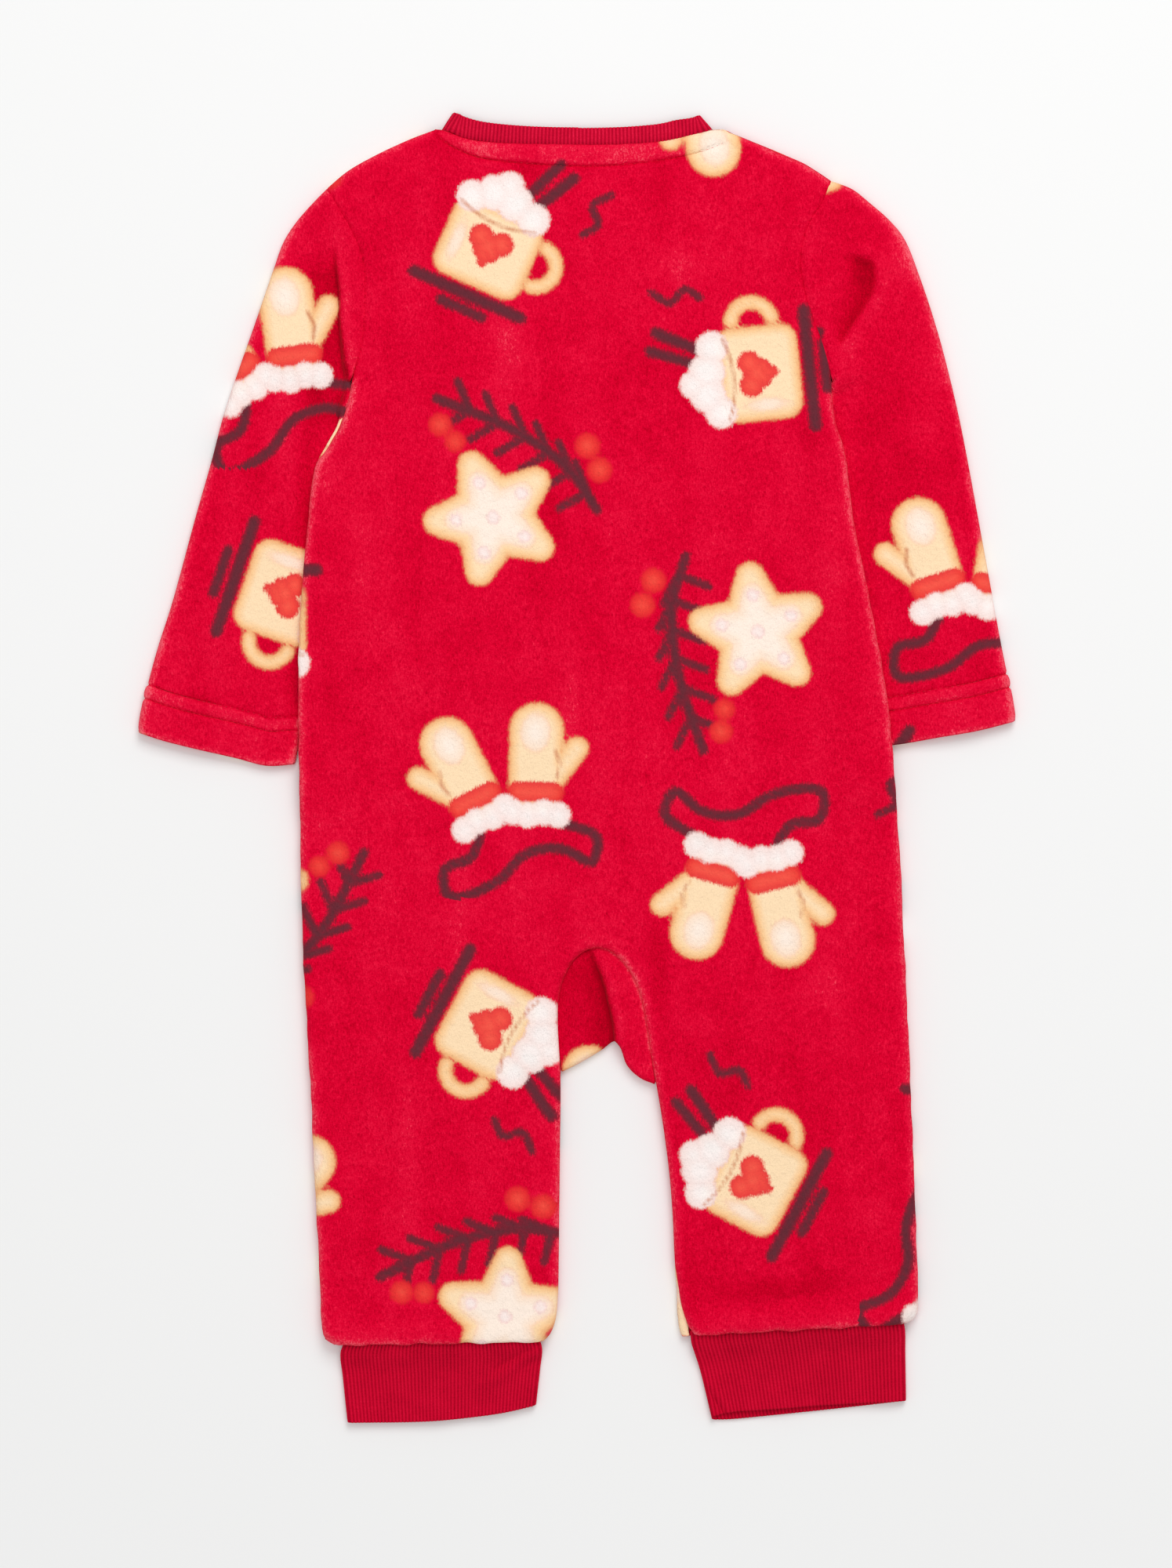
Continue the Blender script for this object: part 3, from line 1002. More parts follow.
def make_front(side, fleece):
    piece = "front_" + side
    h = panel_lines(side, False)
    global PITCH
    keep, PITCH = PITCH, 2.9
    (v_o, v_i), = panel_rows([h])[0]
    grid = panel_points(h, v_o, v_i)
    PITCH = keep
    x, y = grid[..., 0], grid[..., 1]
    z, d = body_height(x, y, h, False, piece)
    cloth = grid
    if side == "right":
        grid, z, cloth = rolled(grid, z)
    points = np.dstack([grid, z]).reshape(-1, 3)
    quads = grid_faces(*x.shape, flip=(side == "left"))      # the face of the cloth is the under side
    nap = (nap_of(piece, x, y) + nap_near_edges(d, False)).ravel()
    obj = shell(piece + "_cloth", points, quads, FLEECE / 2, fleece_attributes(piece, x, y, cloth.reshape(-1, 2), nap),
                plain_side(len(points)), fleece)
    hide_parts("front_panel_" + side)
    area = area_of(points, quads)
    return obj, area


# ---------------------------------------------------------------- sleeves
GROOVES = (15.0, 21.2)      # the two rows of hem stitching, from the sleeve's end


def sleeve_lines(side):
    s, half = SIDE[side], FLEECE / 2
    arm = TABLE["armhole"][side]
    to_end = lengths(arm)[-1] - lengths(arm)
    top = trimmed(inset(arm, s * (SEAM / 2 + 0.75 * (1 - smooth(to_end / 18.0)))), start=half)
    outer = trimmed(inset(spline(SLEEVE_OUTER[side]), -s * half), start=SEAM / 2)
    inner = spline(SLEEVE_INNER[side])
    top[0] = outer[0] = (top[0] + outer[0]) / 2
    inner = np.vstack([top[-1:], inner[1:]])
    hem = spline(SLEEVE_HEM[side])
    hem[0], hem[-1] = outer[-1], inner[-1]
    return top, hem, outer, inner


def make_sleeve(side, fleece):
    s = SIDE[side]
    piece = "sleeve_" + side
    top, hem, outer, inner = sleeve_lines(side)
    far = max(lengths(outer)[-1], lengths(inner)[-1])
    pitch = 1.66
    v = np.concatenate([
        np.array([0.0, 0.15, 0.4, 0.8, 1.3, 1.9, 2.6]),
        np.arange(3.4, 16.0, 0.9),
        np.linspace(16.5, far - 24.0, int((far - 40.5) / pitch) + 1),
        np.arange(far - 23.4, far - 12.8, 0.55),
        np.linspace(far - 12.4, far - 2.4, int(10 / pitch) + 1),
        far - np.array([1.8, 1.25, 0.8, 0.45, 0.2, 0.05, 0.0])]) / far
    wide = np.linalg.norm(at(outer, v) - at(inner, v), axis=1)
    wide[0] = wide[1]
    edge = np.array([0.0, 0.04, 0.16, 0.36, 0.64, 1.0, 1.4, 1.9, 2.5, 3.3, 4.3])
    n = int(84 / pitch)
    e0 = edge[None] / wide[:, None]
    e1 = 1 - e0[:, ::-1]
    u = np.hstack([e0, e0[:, -1:] + (e1[:, :1] - e0[:, -1:]) * np.linspace(0, 1, n + 1)[None, 1:-1], e1])
    t, b = at(top, u), at(hem, u)
    l, r = at(outer, v)[:, None], at(inner, v)[:, None]
    uu, vv = u[..., None], v[:, None, None]
    grid = ((1 - uu) * l + uu * r + (1 - vv) * t + vv * b
            - ((1 - uu) * (1 - vv) * top[0] + uu * (1 - vv) * top[-1] + (1 - uu) * vv * hem[0] + uu * vv * hem[-1]))
    # beside the underarm the columns run along the seam: open them towards the sleeve's side of it
    side_line = np.vstack([top, inner[1:]])
    d, share, _ = nearest(grid[..., 0], grid[..., 1], thin(side_line, 0.8), 60)
    lean = at(side_line, np.clip(share + 0.015, 0, 1)) - at(side_line, np.clip(share - 0.015, 0, 1))
    lean = np.stack([-lean[..., 1], lean[..., 0]], -1) / np.linalg.norm(lean, axis=-1)[..., None]
    along = v[:, None] * lengths(inner)[-1] + 0 * u
    across = (1 - u) * lengths(top)[-1]
    clear = 0.34 * along * across / np.maximum((along ** 3 + across ** 3) ** (1 / 3), 1e-9)
    more = (clear - s * d + np.sqrt((clear - s * d) ** 2 + (0.3 * clear) ** 2)) / 2
    more = more * (np.abs(d) < 30.0) * (1 - smooth((np.abs(d) - 12.0) / 14.0))
    more[0] = more[-1] = more[:, 0] = more[:, -1] = 0.0
    grid = grid + s * lean * more[..., None]
    x, y = grid[..., 0], grid[..., 1]
    d, _, foot = nearest(x, y, thin(top, 0.8))
    away = np.abs(d)
    away[0] = 0.0
    under = np.abs(nearest(x, y, thin(inner, 0.8), 60)[0])      # from the inner edge
    at_arm = back_level(foot[..., 0], foot[..., 1])
    low = smooth((184.0 - y) / 12.0)                 # below the underarm the sleeve slips under the body
    resting = SLEEVE_LEVEL + (TUCK_LEVEL - SLEEVE_LEVEL) * smooth((44.0 - under) / 26.0) * low
    settle = 22.0 - 15.0 * smooth((25.0 - under) / 20.0) * low
    upper = at_arm + (resting - at_arm) * smooth(away / settle)
    open_part = 1 - smooth((33.0 - under) / 17.0) * smooth((178.0 - y) / 16.0)      # not under the body
    if side == "left":
        d, _, _ = nearest(x, y, thin(spline(LEFT_FOLD), 1.0), 60)
        out = -d                                    # outwards is to the right of the line's travel
        w = smooth((243.0 - y) / 22.0) * smooth((y - 150.0) / 12.0)
        low = 3.15 + (resting - 3.15) * smooth((out - 2.5) / 25.0)
        step = smooth((out + 0.2) / (1.3 + 2.0 * smooth((208.0 - y) / 26.0)))
        fold = (at_arm + 0.35) * (1 - step) + low * step + 0.5 * bump(out, -1.6, 1.5)
        upper = upper * (1 - w) + fold * w
        dark = w * (smooth((out + 0.4) / 0.9) * (0.9 * np.exp(-(out / 3.2) ** 2) + 0.7 * np.exp(-np.maximum(out, 0) / 12.5))
                    - 0.4 * bump(out, -2.2, 2.6))
    else:
        d, share, _ = nearest(x, y, thin(spline(RIGHT_HOOK), 1.0), 40)
        w = smooth(share / 0.22) * smooth((1 - share) / 0.1)
        # the cloth inside the hook lies lower, and the cloth outside it rolls over it
        inside = -d
        near_arm = smooth((away - 3.0) / 8.0)
        upper = upper + near_arm * w * (-2.2 * np.exp(-np.maximum(inside, 0) / 9.0) * smooth((inside + 1.1) / 2.6)
                                        + 1.0 * np.exp(-(np.maximum(-inside - 1.0, 0) / 6.5) ** 2) * smooth((-inside + 0.4) / 1.6))
        dark = near_arm * w * (1.05 * smooth((inside + 1.6) / 2.8) * np.exp(-(np.maximum(inside, 0) / 8.5) ** 1.5) - 0.3 * bump(inside, -3.4, 3.4))
    upper = upper + open_part * smooth(away / 4.0) * (creases(piece, x, y) + 0.25 * waves(x, y, 40.0, 12, 1.8) + 0.06 * waves(x, y, 9.0, 13))
    low_arm = front_level(foot[..., 0], foot[..., 1]) - FRONT_LEVEL
    lower = FRONT_LEVEL + low_arm * (1 - smooth(away / 22.0))
    upper = np.maximum(upper, lower + 2.15)
    middle, reach = (upper + lower) / 2, (upper - lower) / 2
    d_edge = np.minimum(np.abs(nearest(x, y, thin(outer, 1.5), 8)[0]), np.abs(nearest(x, y, thin(inner, 1.5), 8)[0]))
    d_edge[:, 0] = d_edge[:, -1] = 0.0
    radius = np.clip(reach, 1.3, 2.4)
    bend = np.sqrt(1 - (1 - np.clip(d_edge / radius, 0, 1)) ** 2)
    rows, columns = x.shape
    ring = 2 * columns - 2

    def around(a, b):
        return np.hstack([a, b[:, -2:0:-1]])
    px, py = around(x, x), around(y, y)
    pz = around(middle + reach * bend, middle - reach * bend)
    points = np.dstack([px, py, pz]).reshape(-1, 3)
    quads = grid_faces(rows, ring, ring=True, flip=(side == "right"))
    # stitching and hem, pressed in along the cloth's own normal
    d_hem = np.abs(nearest(px, py, thin(hem, 1.5), 30)[0])
    d_arm = np.abs(nearest(px, py, thin(top, 1.5), 12)[0])
    is_low = np.hstack([np.zeros_like(x, bool), np.ones((rows, columns - 2), bool)])
    shape_of = smooth((GROOVES[1] + 1.0 - d_hem) / 1.2) * 0.4
    shape_of = shape_of - sum(1.0 * bump(d_hem, g, 0.85) for g in GROOVES) + 0.3 * bump(d_hem, 18.1, 1.8)
    shape_of = shape_of + 0.12 * waves(px, 0 * py, 11.0, 61) * smooth((GROOVES[1] + 2 - d_hem) / 3.0)
    sewn = smooth((pz - 3.9) / 2.5) * smooth(np.hypot(px - top[-1, 0], py - top[-1, 1]) / 7.0)
    shape_of = shape_of - 0.5 * bump(d_hem, 0.0, 1.6) - 0.75 * bump(d_arm, 0.0, 1.5) * sewn
    shape_of = np.where(is_low, np.minimum(shape_of, 0.0), shape_of)
    tucked = smooth((26.0 - np.hstack([under, under[:, -2:0:-1]])) / 9.0) * smooth((170.0 - py) / 10.0) * (py > 0)
    shape_of = shape_of * (1 - tucked * (shape_of > 0))
    normal = point_normals(points, quads)
    points = points + normal * shape_of.reshape(-1, 1)
    points[:, 2] = np.maximum(points[:, 2], 1.0)
    glow = 0.9 * np.exp(-(d_edge / 2.2) ** 2) - dark
    nap = nap_of(piece, px, py) + np.hstack([glow, glow[:, -2:0:-1]]) + 0.5 * np.exp(-(d_hem / 1.5) ** 2)
    nap = nap + 0.4 * smooth((GROOVES[1] - d_hem) / 1.0) * smooth((d_hem - GROOVES[0]) / 1.0) + 0.22 * smooth((GROOVES[0] - d_hem) / 1.0)
    nap = nap - sum(0.75 * bump(d_hem, g, 0.8) for g in GROOVES)
    _, _, foot = nearest(px, py, thin(outer, 2.0))
    where = np.where(is_low[..., None], 2 * foot - np.dstack([px, py]), np.dstack([px, py])).reshape(-1, 2)
    obj = shell(piece + "_cloth", points, quads, FLEECE / 2, fleece_attributes(piece, px, py, where, nap),
                plain_side(len(points)), fleece, rim=0.85)
    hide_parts(piece)
    area = area_of(points, quads)
    return obj, area


# ---------------------------------------------------------------- ribs
RIB_PITCH = 1.7


def rib_wall(along, gap=0.3):
    """Half the wall of a 1x1 rib at distances along it: round ribs with narrow furrows between."""
    c = np.cos(2 * math.pi * along / RIB_PITCH)
    return RIB / 2 * (1 - gap * (1 - np.sqrt(np.clip(0.5 + 0.5 * c, 0, 1)) ** 0.7))


def make_cuff(side, rib):
    c = CUFFS[side]
    half = RIB / 2
    left, right = inset(spline(c["left"]), half), inset(spline(c["right"]), -half)
    steps = 5
    ribs = 54                                  # on each layer
    n = ribs * steps
    # even round the ring, so that the ribs close up at the folded edges
    edge = np.array([0.0, 0.05, 0.2, 0.45, 0.8, 1.2]) / 92.0
    u = np.concatenate([edge, np.linspace(edge[-1], 1 - edge[-1], n + 1)[1:-1], (1 - edge)[::-1]])
    v = np.concatenate([[0.0, 0.03], np.linspace(0.08, 0.95, 18), [0.975, 0.99, 1.0]])
    top = np.linspace(left[0], right[0], 9)
    layers = []
    for edge_line in (spline(c["upper"]), spline(c["lower"])):
        e = edge_line.copy()
        e[0], e[-1] = left[-1], right[-1]
        layers.append(coons(top, e, left, right, u, v))
    drop = smooth((v - 0.08) / 0.32)[:, None]
    upper = 5.6 + (half + 2.3 - 5.6) * drop + 0 * u[None]
    lower = 3.4 + (half - 3.4) * drop + 0 * u[None]
    x, y = layers[0][..., 0], layers[0][..., 1]
    open_part = smooth((v - 0.12) / 0.12)[:, None]
    if side == "left":
        d, share, _ = nearest(x, y, thin(spline(((-16.0, -263.5), (-25.7, -269.6), (-38.1, -277.8), (-50.0, -282.0))), 1.0), 14)
        w = smooth((1 - share) / 0.5) * smooth(share / 0.05)
        upper = upper + open_part * w * (1.25 * bump(d, 2.2, 2.2) - 1.1 * bump(d, -0.8, 1.3))
    else:
        d, share, _ = nearest(x, y, thin(spline(((59.0, -281.0), (61.5, -287.0), (66.5, -294.0), (68.5, -297.0))), 0.7), 12)
        w = smooth(share / 0.3)
        upper = upper + open_part * w * (-0.7 * bump(d, -0.6, 1.1) + 0.6 * bump(d, 2.0, 1.8))
    upper = upper + open_part * (0.25 * waves(x, y, 26.0, 21) + 0.2 * smooth((v - 0.6) / 0.4)[:, None])
    lower = np.maximum(lower, half)
    upper = np.maximum(upper, lower + RIB + 0.15)
    middle, reach = (upper + lower) / 2, (upper - lower) / 2
    d_edge = np.minimum(u, 1 - u)[None] * 92.0
    bend = np.sqrt(1 - (1 - np.clip(d_edge / 1.1, 0, 1)) ** 2)
    rows, columns = len(v), len(u)
    ring = 2 * columns - 2
    px = np.hstack([layers[0][..., 0], layers[1][:, -2:0:-1, 0]])
    py = np.hstack([layers[0][..., 1], layers[1][:, -2:0:-1, 1]])
    pz = np.hstack([middle + reach * bend, (middle - reach * bend)[:, -2:0:-1]])
    points = np.dstack([px, py, pz]).reshape(-1, 3)
    quads = grid_faces(rows, ring, ring=True)
    s = np.concatenate([u, 2 - u[-2:0:-1]]) * ribs * RIB_PITCH
    s = np.broadcast_to(s, px.shape)
    t = np.broadcast_to(v[:, None] * 36.0, px.shape)
    wall = rib_wall(s).ravel()
    knit = np.stack([s.ravel(), t.ravel(), 0 * s.ravel()], 1)
    cuff_top = np.exp(-(v / 0.12) ** 2)[:, None] + 0 * px
    shade = -0.5 * cuff_top
    obj = shell("cuff_%s_rib" % side, points, quads, wall, {"knit": knit, "nap": shade.ravel()},
                {"knit": knit, "nap": shade.ravel() - 0.2}, rib, rim=0.8)
    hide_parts("leg_cuff_" + side)
    area = area_of(points, quads)
    return obj, area


def make_neck_band(rib):
    """The folded rib, from one side of the zip round the back of the neck to the other side."""
    stops = np.linspace(NECK_STOPS[1], 1.0, 28)

    def sections(neck, side, levels, slot):
        s = SIDE[side]
        line = trimmed(half_neck(neck if side == "left" else neck[::-1]), start=FLEECE / 2, end=slot)
        near, out = {}, []
        for share in stops:
            wide = BAND_WIDTH - 1.1 + 2.0 * (1 - share) ** 2
            if side == "right":
                wide -= 0.25 + 1.3 * smooth((0.36 - share) / 0.16)
            clear = 0.12 + 0.5 * (1 - share) ** 2
            sx, sy = at(inset(line, -s * clear), share)
            fx, fy = at(inset(line, -s * (clear + wide)), share)
            out.append((sx, sy, fx, fy, *(levels or 2 * (float(front_level(sx, sy)),))))
        return out
    front, back = spline(NECK_FRONT, 14), spline(NECK_BACK, 14)
    whole = []
    for side in ("left", "right"):
        under = sections(front, side, None, SLOT)
        over = sections(back, side, BAND_LEVELS, 0.0)
        turn = spline([under[6], under[0], *BAND_TURN[side], over[0], over[6]], per=6)[6:-6]
        whole.append(under[:0:-1] + [tuple(r) for r in turn] + over[1:])
    line = spline(np.array(whole[0] + whole[1][-2::-1]), 3)
    middle = np.column_stack([(line[:, 0] + line[:, 2]) / 2, (line[:, 1] + line[:, 3]) / 2, (line[:, 4] + line[:, 5]) / 2])
    along = np.concatenate([[0], np.cumsum(np.linalg.norm(np.diff(middle, axis=0), axis=1))])
    steps = 5.5
    n = int(along[-1] / RIB_PITCH * steps)
    s = np.linspace(0, along[-1], n + 1)
    row = np.stack([np.interp(s, along, line[:, k]) for k in range(6)], 1)
    t = np.array([0.0, 0.05, 0.15, 0.32, 0.5, 0.68, 0.84, 0.94, 1.0])
    a, b = row[None, :, (0, 1, 4)], row[None, :, (2, 3, 5)]
    points = a + (b - a) * t[:, None, None]
    crown = 0.35 * np.sin(math.pi * t)[:, None] * (points[..., 2] > 3.0)
    points[..., 2] += crown
    points = points.reshape(-1, 3)
    quads = grid_faces(len(t), len(s))
    ss, tt = np.broadcast_to(s, (len(t), len(s))), np.broadcast_to(t[:, None] * 9.0, (len(t), len(s)))
    knit = np.stack([ss.ravel(), tt.ravel(), 0 * ss.ravel()], 1)
    nap = (0.25 - 0.5 * np.exp(-(t / 0.15) ** 2))[:, None] + 0 * ss
    obj = shell("neck_rib", points, quads, rib_wall(ss).ravel() * 1.05, {"knit": knit, "nap": nap.ravel()},
                {"knit": knit, "nap": nap.ravel()}, rib, rim=0.9)
    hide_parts("neck_band")
    area = area_of(points, quads)
    return obj, area


# ---------------------------------------------------------------- gusset
PLEAT_LINE = ((6.6, -83.6), (7.9, -86.4), (9.6, -90.7), (12.5, -98.6), (15.4, -110.5), (17.2, -118.8), (17.6, -126.0))


def make_gusset(fleece):
    seam = np.vstack([TABLE["inseam"]["left"][::-1], TABLE["inseam"]["right"][1:]])
    seam = seam[seam[:, 1] > GUSSET_SPAN]
    n = 112
    a = np.linspace(0, 1, n)
    over, under, fold = at(inset(seam, 0.15), a), at(inset(seam, -0.25), a), at(FOLD_LINE, a)
    length = np.linalg.norm(fold - over, axis=1)
    to_fold = (fold - over) / length[:, None]
    steps = np.concatenate([[0, 0.01, 0.03], np.linspace(0.06, 1.0, 36)])
    line = thin(spline(PLEAT_LINE), 0.6)

    def level(p):
        right, share, _ = nearest(p[:, 0], p[:, 1], line)      # right of the fold line is positive
        grow = 0.3 + 0.7 * smooth(share / 0.3)
        edge = np.abs(nearest(p[:, 0], p[:, 1], thin(inset(seam, 0.15), 1.0))[0])
        base = 3.4 + 0.9 * smooth(right / 3.0) * grow
        roll = 2.5 * smooth((right + 0.5) / 1.1) * np.exp(-(np.maximum(right - 2.2, 0) / 4.6) ** 2)
        valley = 0.8 * bump(right, -1.7, 2.2)
        z = base + grow * smooth((edge - 0.4) / (2.9 - 1.3 * smooth(right / 3.0))) * (roll - valley)
        pile = -0.4 + 0.5 * smooth((right + 0.3) / 1.5) - 1.6 * grow * bump(right, -1.2, 1.7) - 0.45 * grow * bump(right, -4.5, 5.0)
        return z, pile + 0.25 * grow * bump(right, 2.6, 1.6) + 0.75 * smooth((right - 2.0) / 3.0) * np.exp(-(edge / 1.3) ** 2)
    rows = []
    radius = 1.3
    for t in steps:
        p = over + to_fold * ((length - radius) * t)[:, None]
        z, pile = level(p)
        rows.append(np.column_stack([p, z, pile]))
    z_top, pile = rows[-1][:, 2], rows[-1][:, 3]
    centre, reach = (z_top + 1.0) / 2, (z_top - 1.0) / 2
    for angle in range(75, -91, -15):
        c, sn = math.cos(math.radians(angle)), math.sin(math.radians(angle))
        p = fold - to_fold * (radius * (1 - c))
        rows.append(np.column_stack([p, centre + reach * sn, pile]))
    for t in np.linspace(0.96, 0.0, 14):
        p = under + (fold - to_fold * radius - under) * t
        rows.append(np.column_stack([p, np.full(n, 1.0), pile]))
    points = np.vstack(rows)
    quads = grid_faces(len(rows), n)
    x, y = points[:, 0], points[:, 1]
    nap = points[:, 3] + 0.1 * waves(x, y, 14.0, 41)
    points = points[:, :3]
    obj = shell("gusset_cloth", points, quads, FLEECE / 2, fleece_attributes("gusset", x, y, points[:, :2], nap),
                plain_side(len(points), -0.4), fleece, rim=0.35)
    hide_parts("crotch_gusset")
    area = area_of(points, quads)
    return obj, area


# ---------------------------------------------------------------- zip
TAPE_REACH, TAPE, CHAIN, CHAIN_THICK = 10.5, 0.25, 2.1, 0.65
TOOTH_PITCH = 1.26


def make_zip(side, tape_material, coil_material):
    """Half of the zip: the woven tape, and its half of the coil's teeth up to the slider."""
    s = SIDE[side]
    y = np.concatenate([np.linspace(255.2, 250.0, 5), np.linspace(248.5, ZIP_END + 2.0, 120)])
    reach = np.array([0.35, 0.9, 1.6, 2.1, 3.0, 4.0, 5.5, 7.0, 8.5, 9.7, 10.5])
    rise = np.array([0.0, 0.0, 0.0, 0.12, 0.1, 0.0, 0.0, 0.0, 0.0, 0.04, 0.0])
    cx = centre_x(y)
    points = np.dstack([cx[:, None] + s * reach[None], y[:, None] + 0 * reach[None], ZIP_LEVEL + rise[None] + 0 * y[:, None]])
    quads = grid_faces(len(y), len(reach), flip=(side == "right"))
    quads = quads[:, ::-1]
    flat = points.reshape(-1, 3)
    knit = np.stack([np.broadcast_to(reach, points.shape[:2]).ravel(), flat[:, 1], 0 * flat[:, 1]], 1)
    tape = shell("zip_tape_" + side, flat, quads, TAPE, {"knit": knit}, {"knit": knit}, tape_material)
    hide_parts("zip_stringer_" + side)
    # the coil: one bent loop a tooth, its head reaching over the middle
    verts, faces = [], []
    count = int((248.0 - (ZIP_END + 2.5)) / TOOTH_PITCH)
    start = 0.0 if side == "left" else TOOTH_PITCH / 2
    loop = ((-0.42, 0.46), (0.05, 0.52), (0.9, 0.5), (1.75, 0.36), (1.95, 0.0), (1.75, -0.36), (0.9, -0.5), (0.05, -0.52), (-0.42, -0.46))
    for k in range(count):
        yy = 247.6 - start - k * TOOTH_PITCH
        c = float(centre_x(yy))
        base = len(verts)
        for j, (dx, dz) in enumerate(loop):
            half = 0.24 if 0 < j < len(loop) - 1 else 0.34
            for dy, du in ((-half, 0.0), (0.0, 0.16), (half, 0.0), (0.0, -0.16)):
                out = np.array([dx - 0.8, dz])
                out = out / max(np.linalg.norm(out), 1e-6)
                verts.append((c + s * (0.2 + dx + out[0] * du), yy + dy, ZIP_LEVEL + dz + out[1] * du))
        for j in range(len(loop) - 1):
            for m in range(4):
                a, b = base + 4 * j + m, base + 4 * j + (m + 1) % 4
                faces.append((a, b, b + 4, a + 4) if s < 0 else (a, a + 4, b + 4, b))
        e = base + 4 * (len(loop) - 1)
        faces.append((base + 3, base + 2, base + 1, base) if s < 0 else (base, base + 1, base + 2, base + 3))
        faces.append((e, e + 1, e + 2, e + 3) if s < 0 else (e + 3, e + 2, e + 1, e))
    coil = build_mesh("zip_coil_" + side, verts, faces, {}, coil_material)
    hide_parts("zip_stringer_" + side)
    return tape, coil


# ---------------------------------------------------------------- stitches


def outward(obj):
    """Turns the faces of separate closed parts outwards."""
    bm = bmesh.new()
    bm.from_mesh(obj.data)
    bmesh.ops.recalc_face_normals(bm, faces=bm.faces)
    bm.to_mesh(obj.data)
    bm.free()
    return obj


def resting_on(obj, above=True):
    """Heights in mm of a piece's surface at points of the tables, seen from above or from below."""
    tree = BVHTree.FromPolygons([v.co for v in obj.data.vertices], [tuple(p.vertices) for p in obj.data.polygons])
    start, way = (0.05, Vector((0, 0, -1))) if above else (-0.05, Vector((0, 0, 1)))

    def level(x, y):
        out = []
        for a, b in zip(np.ravel(x), np.ravel(y)):
            hit = tree.ray_cast(Vector(((a + SHIFT[0]) * MM, (b + SHIFT[1]) * MM, start)), way)[0]
            out.append(hit.z / MM if hit else np.nan)
        return np.array(out)
    return level


def make_stitches(name, paths, thread, pitch=2.6, gap=0.6, thick=0.15):
    """Rows of thread stitches: each is a short bowed thread that dips into the cloth at its ends.

    paths is a list of (line, level, 1 above or -1 below)."""
    verts, faces = [], []
    for line, level, up in paths:
        far = lengths(line)[-1]
        for k in range(int(far / pitch)):
            p = at(line, (k * pitch + np.linspace(gap / 2, pitch - gap / 2, 5)) / far)
            z = level(p[:, 0], p[:, 1])
            if np.isnan(z).any() or np.ptp(z) > 1.2:
                continue
            d = (p[-1] - p[0]) / max(np.linalg.norm(p[-1] - p[0]), 1e-9)
            side = np.array([-d[1], d[0]])
            base = len(verts)
            for j in range(5):
                r = thick * (0.5, 0.95, 1.0, 0.95, 0.5)[j]
                rise = (-0.26, -0.08, 0.0, -0.08, -0.26)[j]
                for m in range(6):
                    q = p[j] + side * r * math.cos(math.pi / 3 * m)
                    verts.append((q[0], q[1], z[j] + up * (rise + r * math.sin(math.pi / 3 * m))))
            for j in range(4):
                for m in range(6):
                    a, b = base + 6 * j + m, base + 6 * j + (m + 1) % 6
                    faces.append((a, a + 6, b + 6, b))
            for e in (base, base + 24):
                faces.append((e, e + 1, e + 2, e + 3))
                faces.append((e, e + 3, e + 4, e + 5))
    return outward(build_mesh(name, verts, faces, {}, thread))


# ---------------------------------------------------------------- materials
def linear(r, g, b):
    c = np.array([r, g, b]) / 255.0
    return tuple(np.where(c <= 0.04045, c / 12.92, ((c + 0.055) / 1.055) ** 2.4)) + (1.0,)


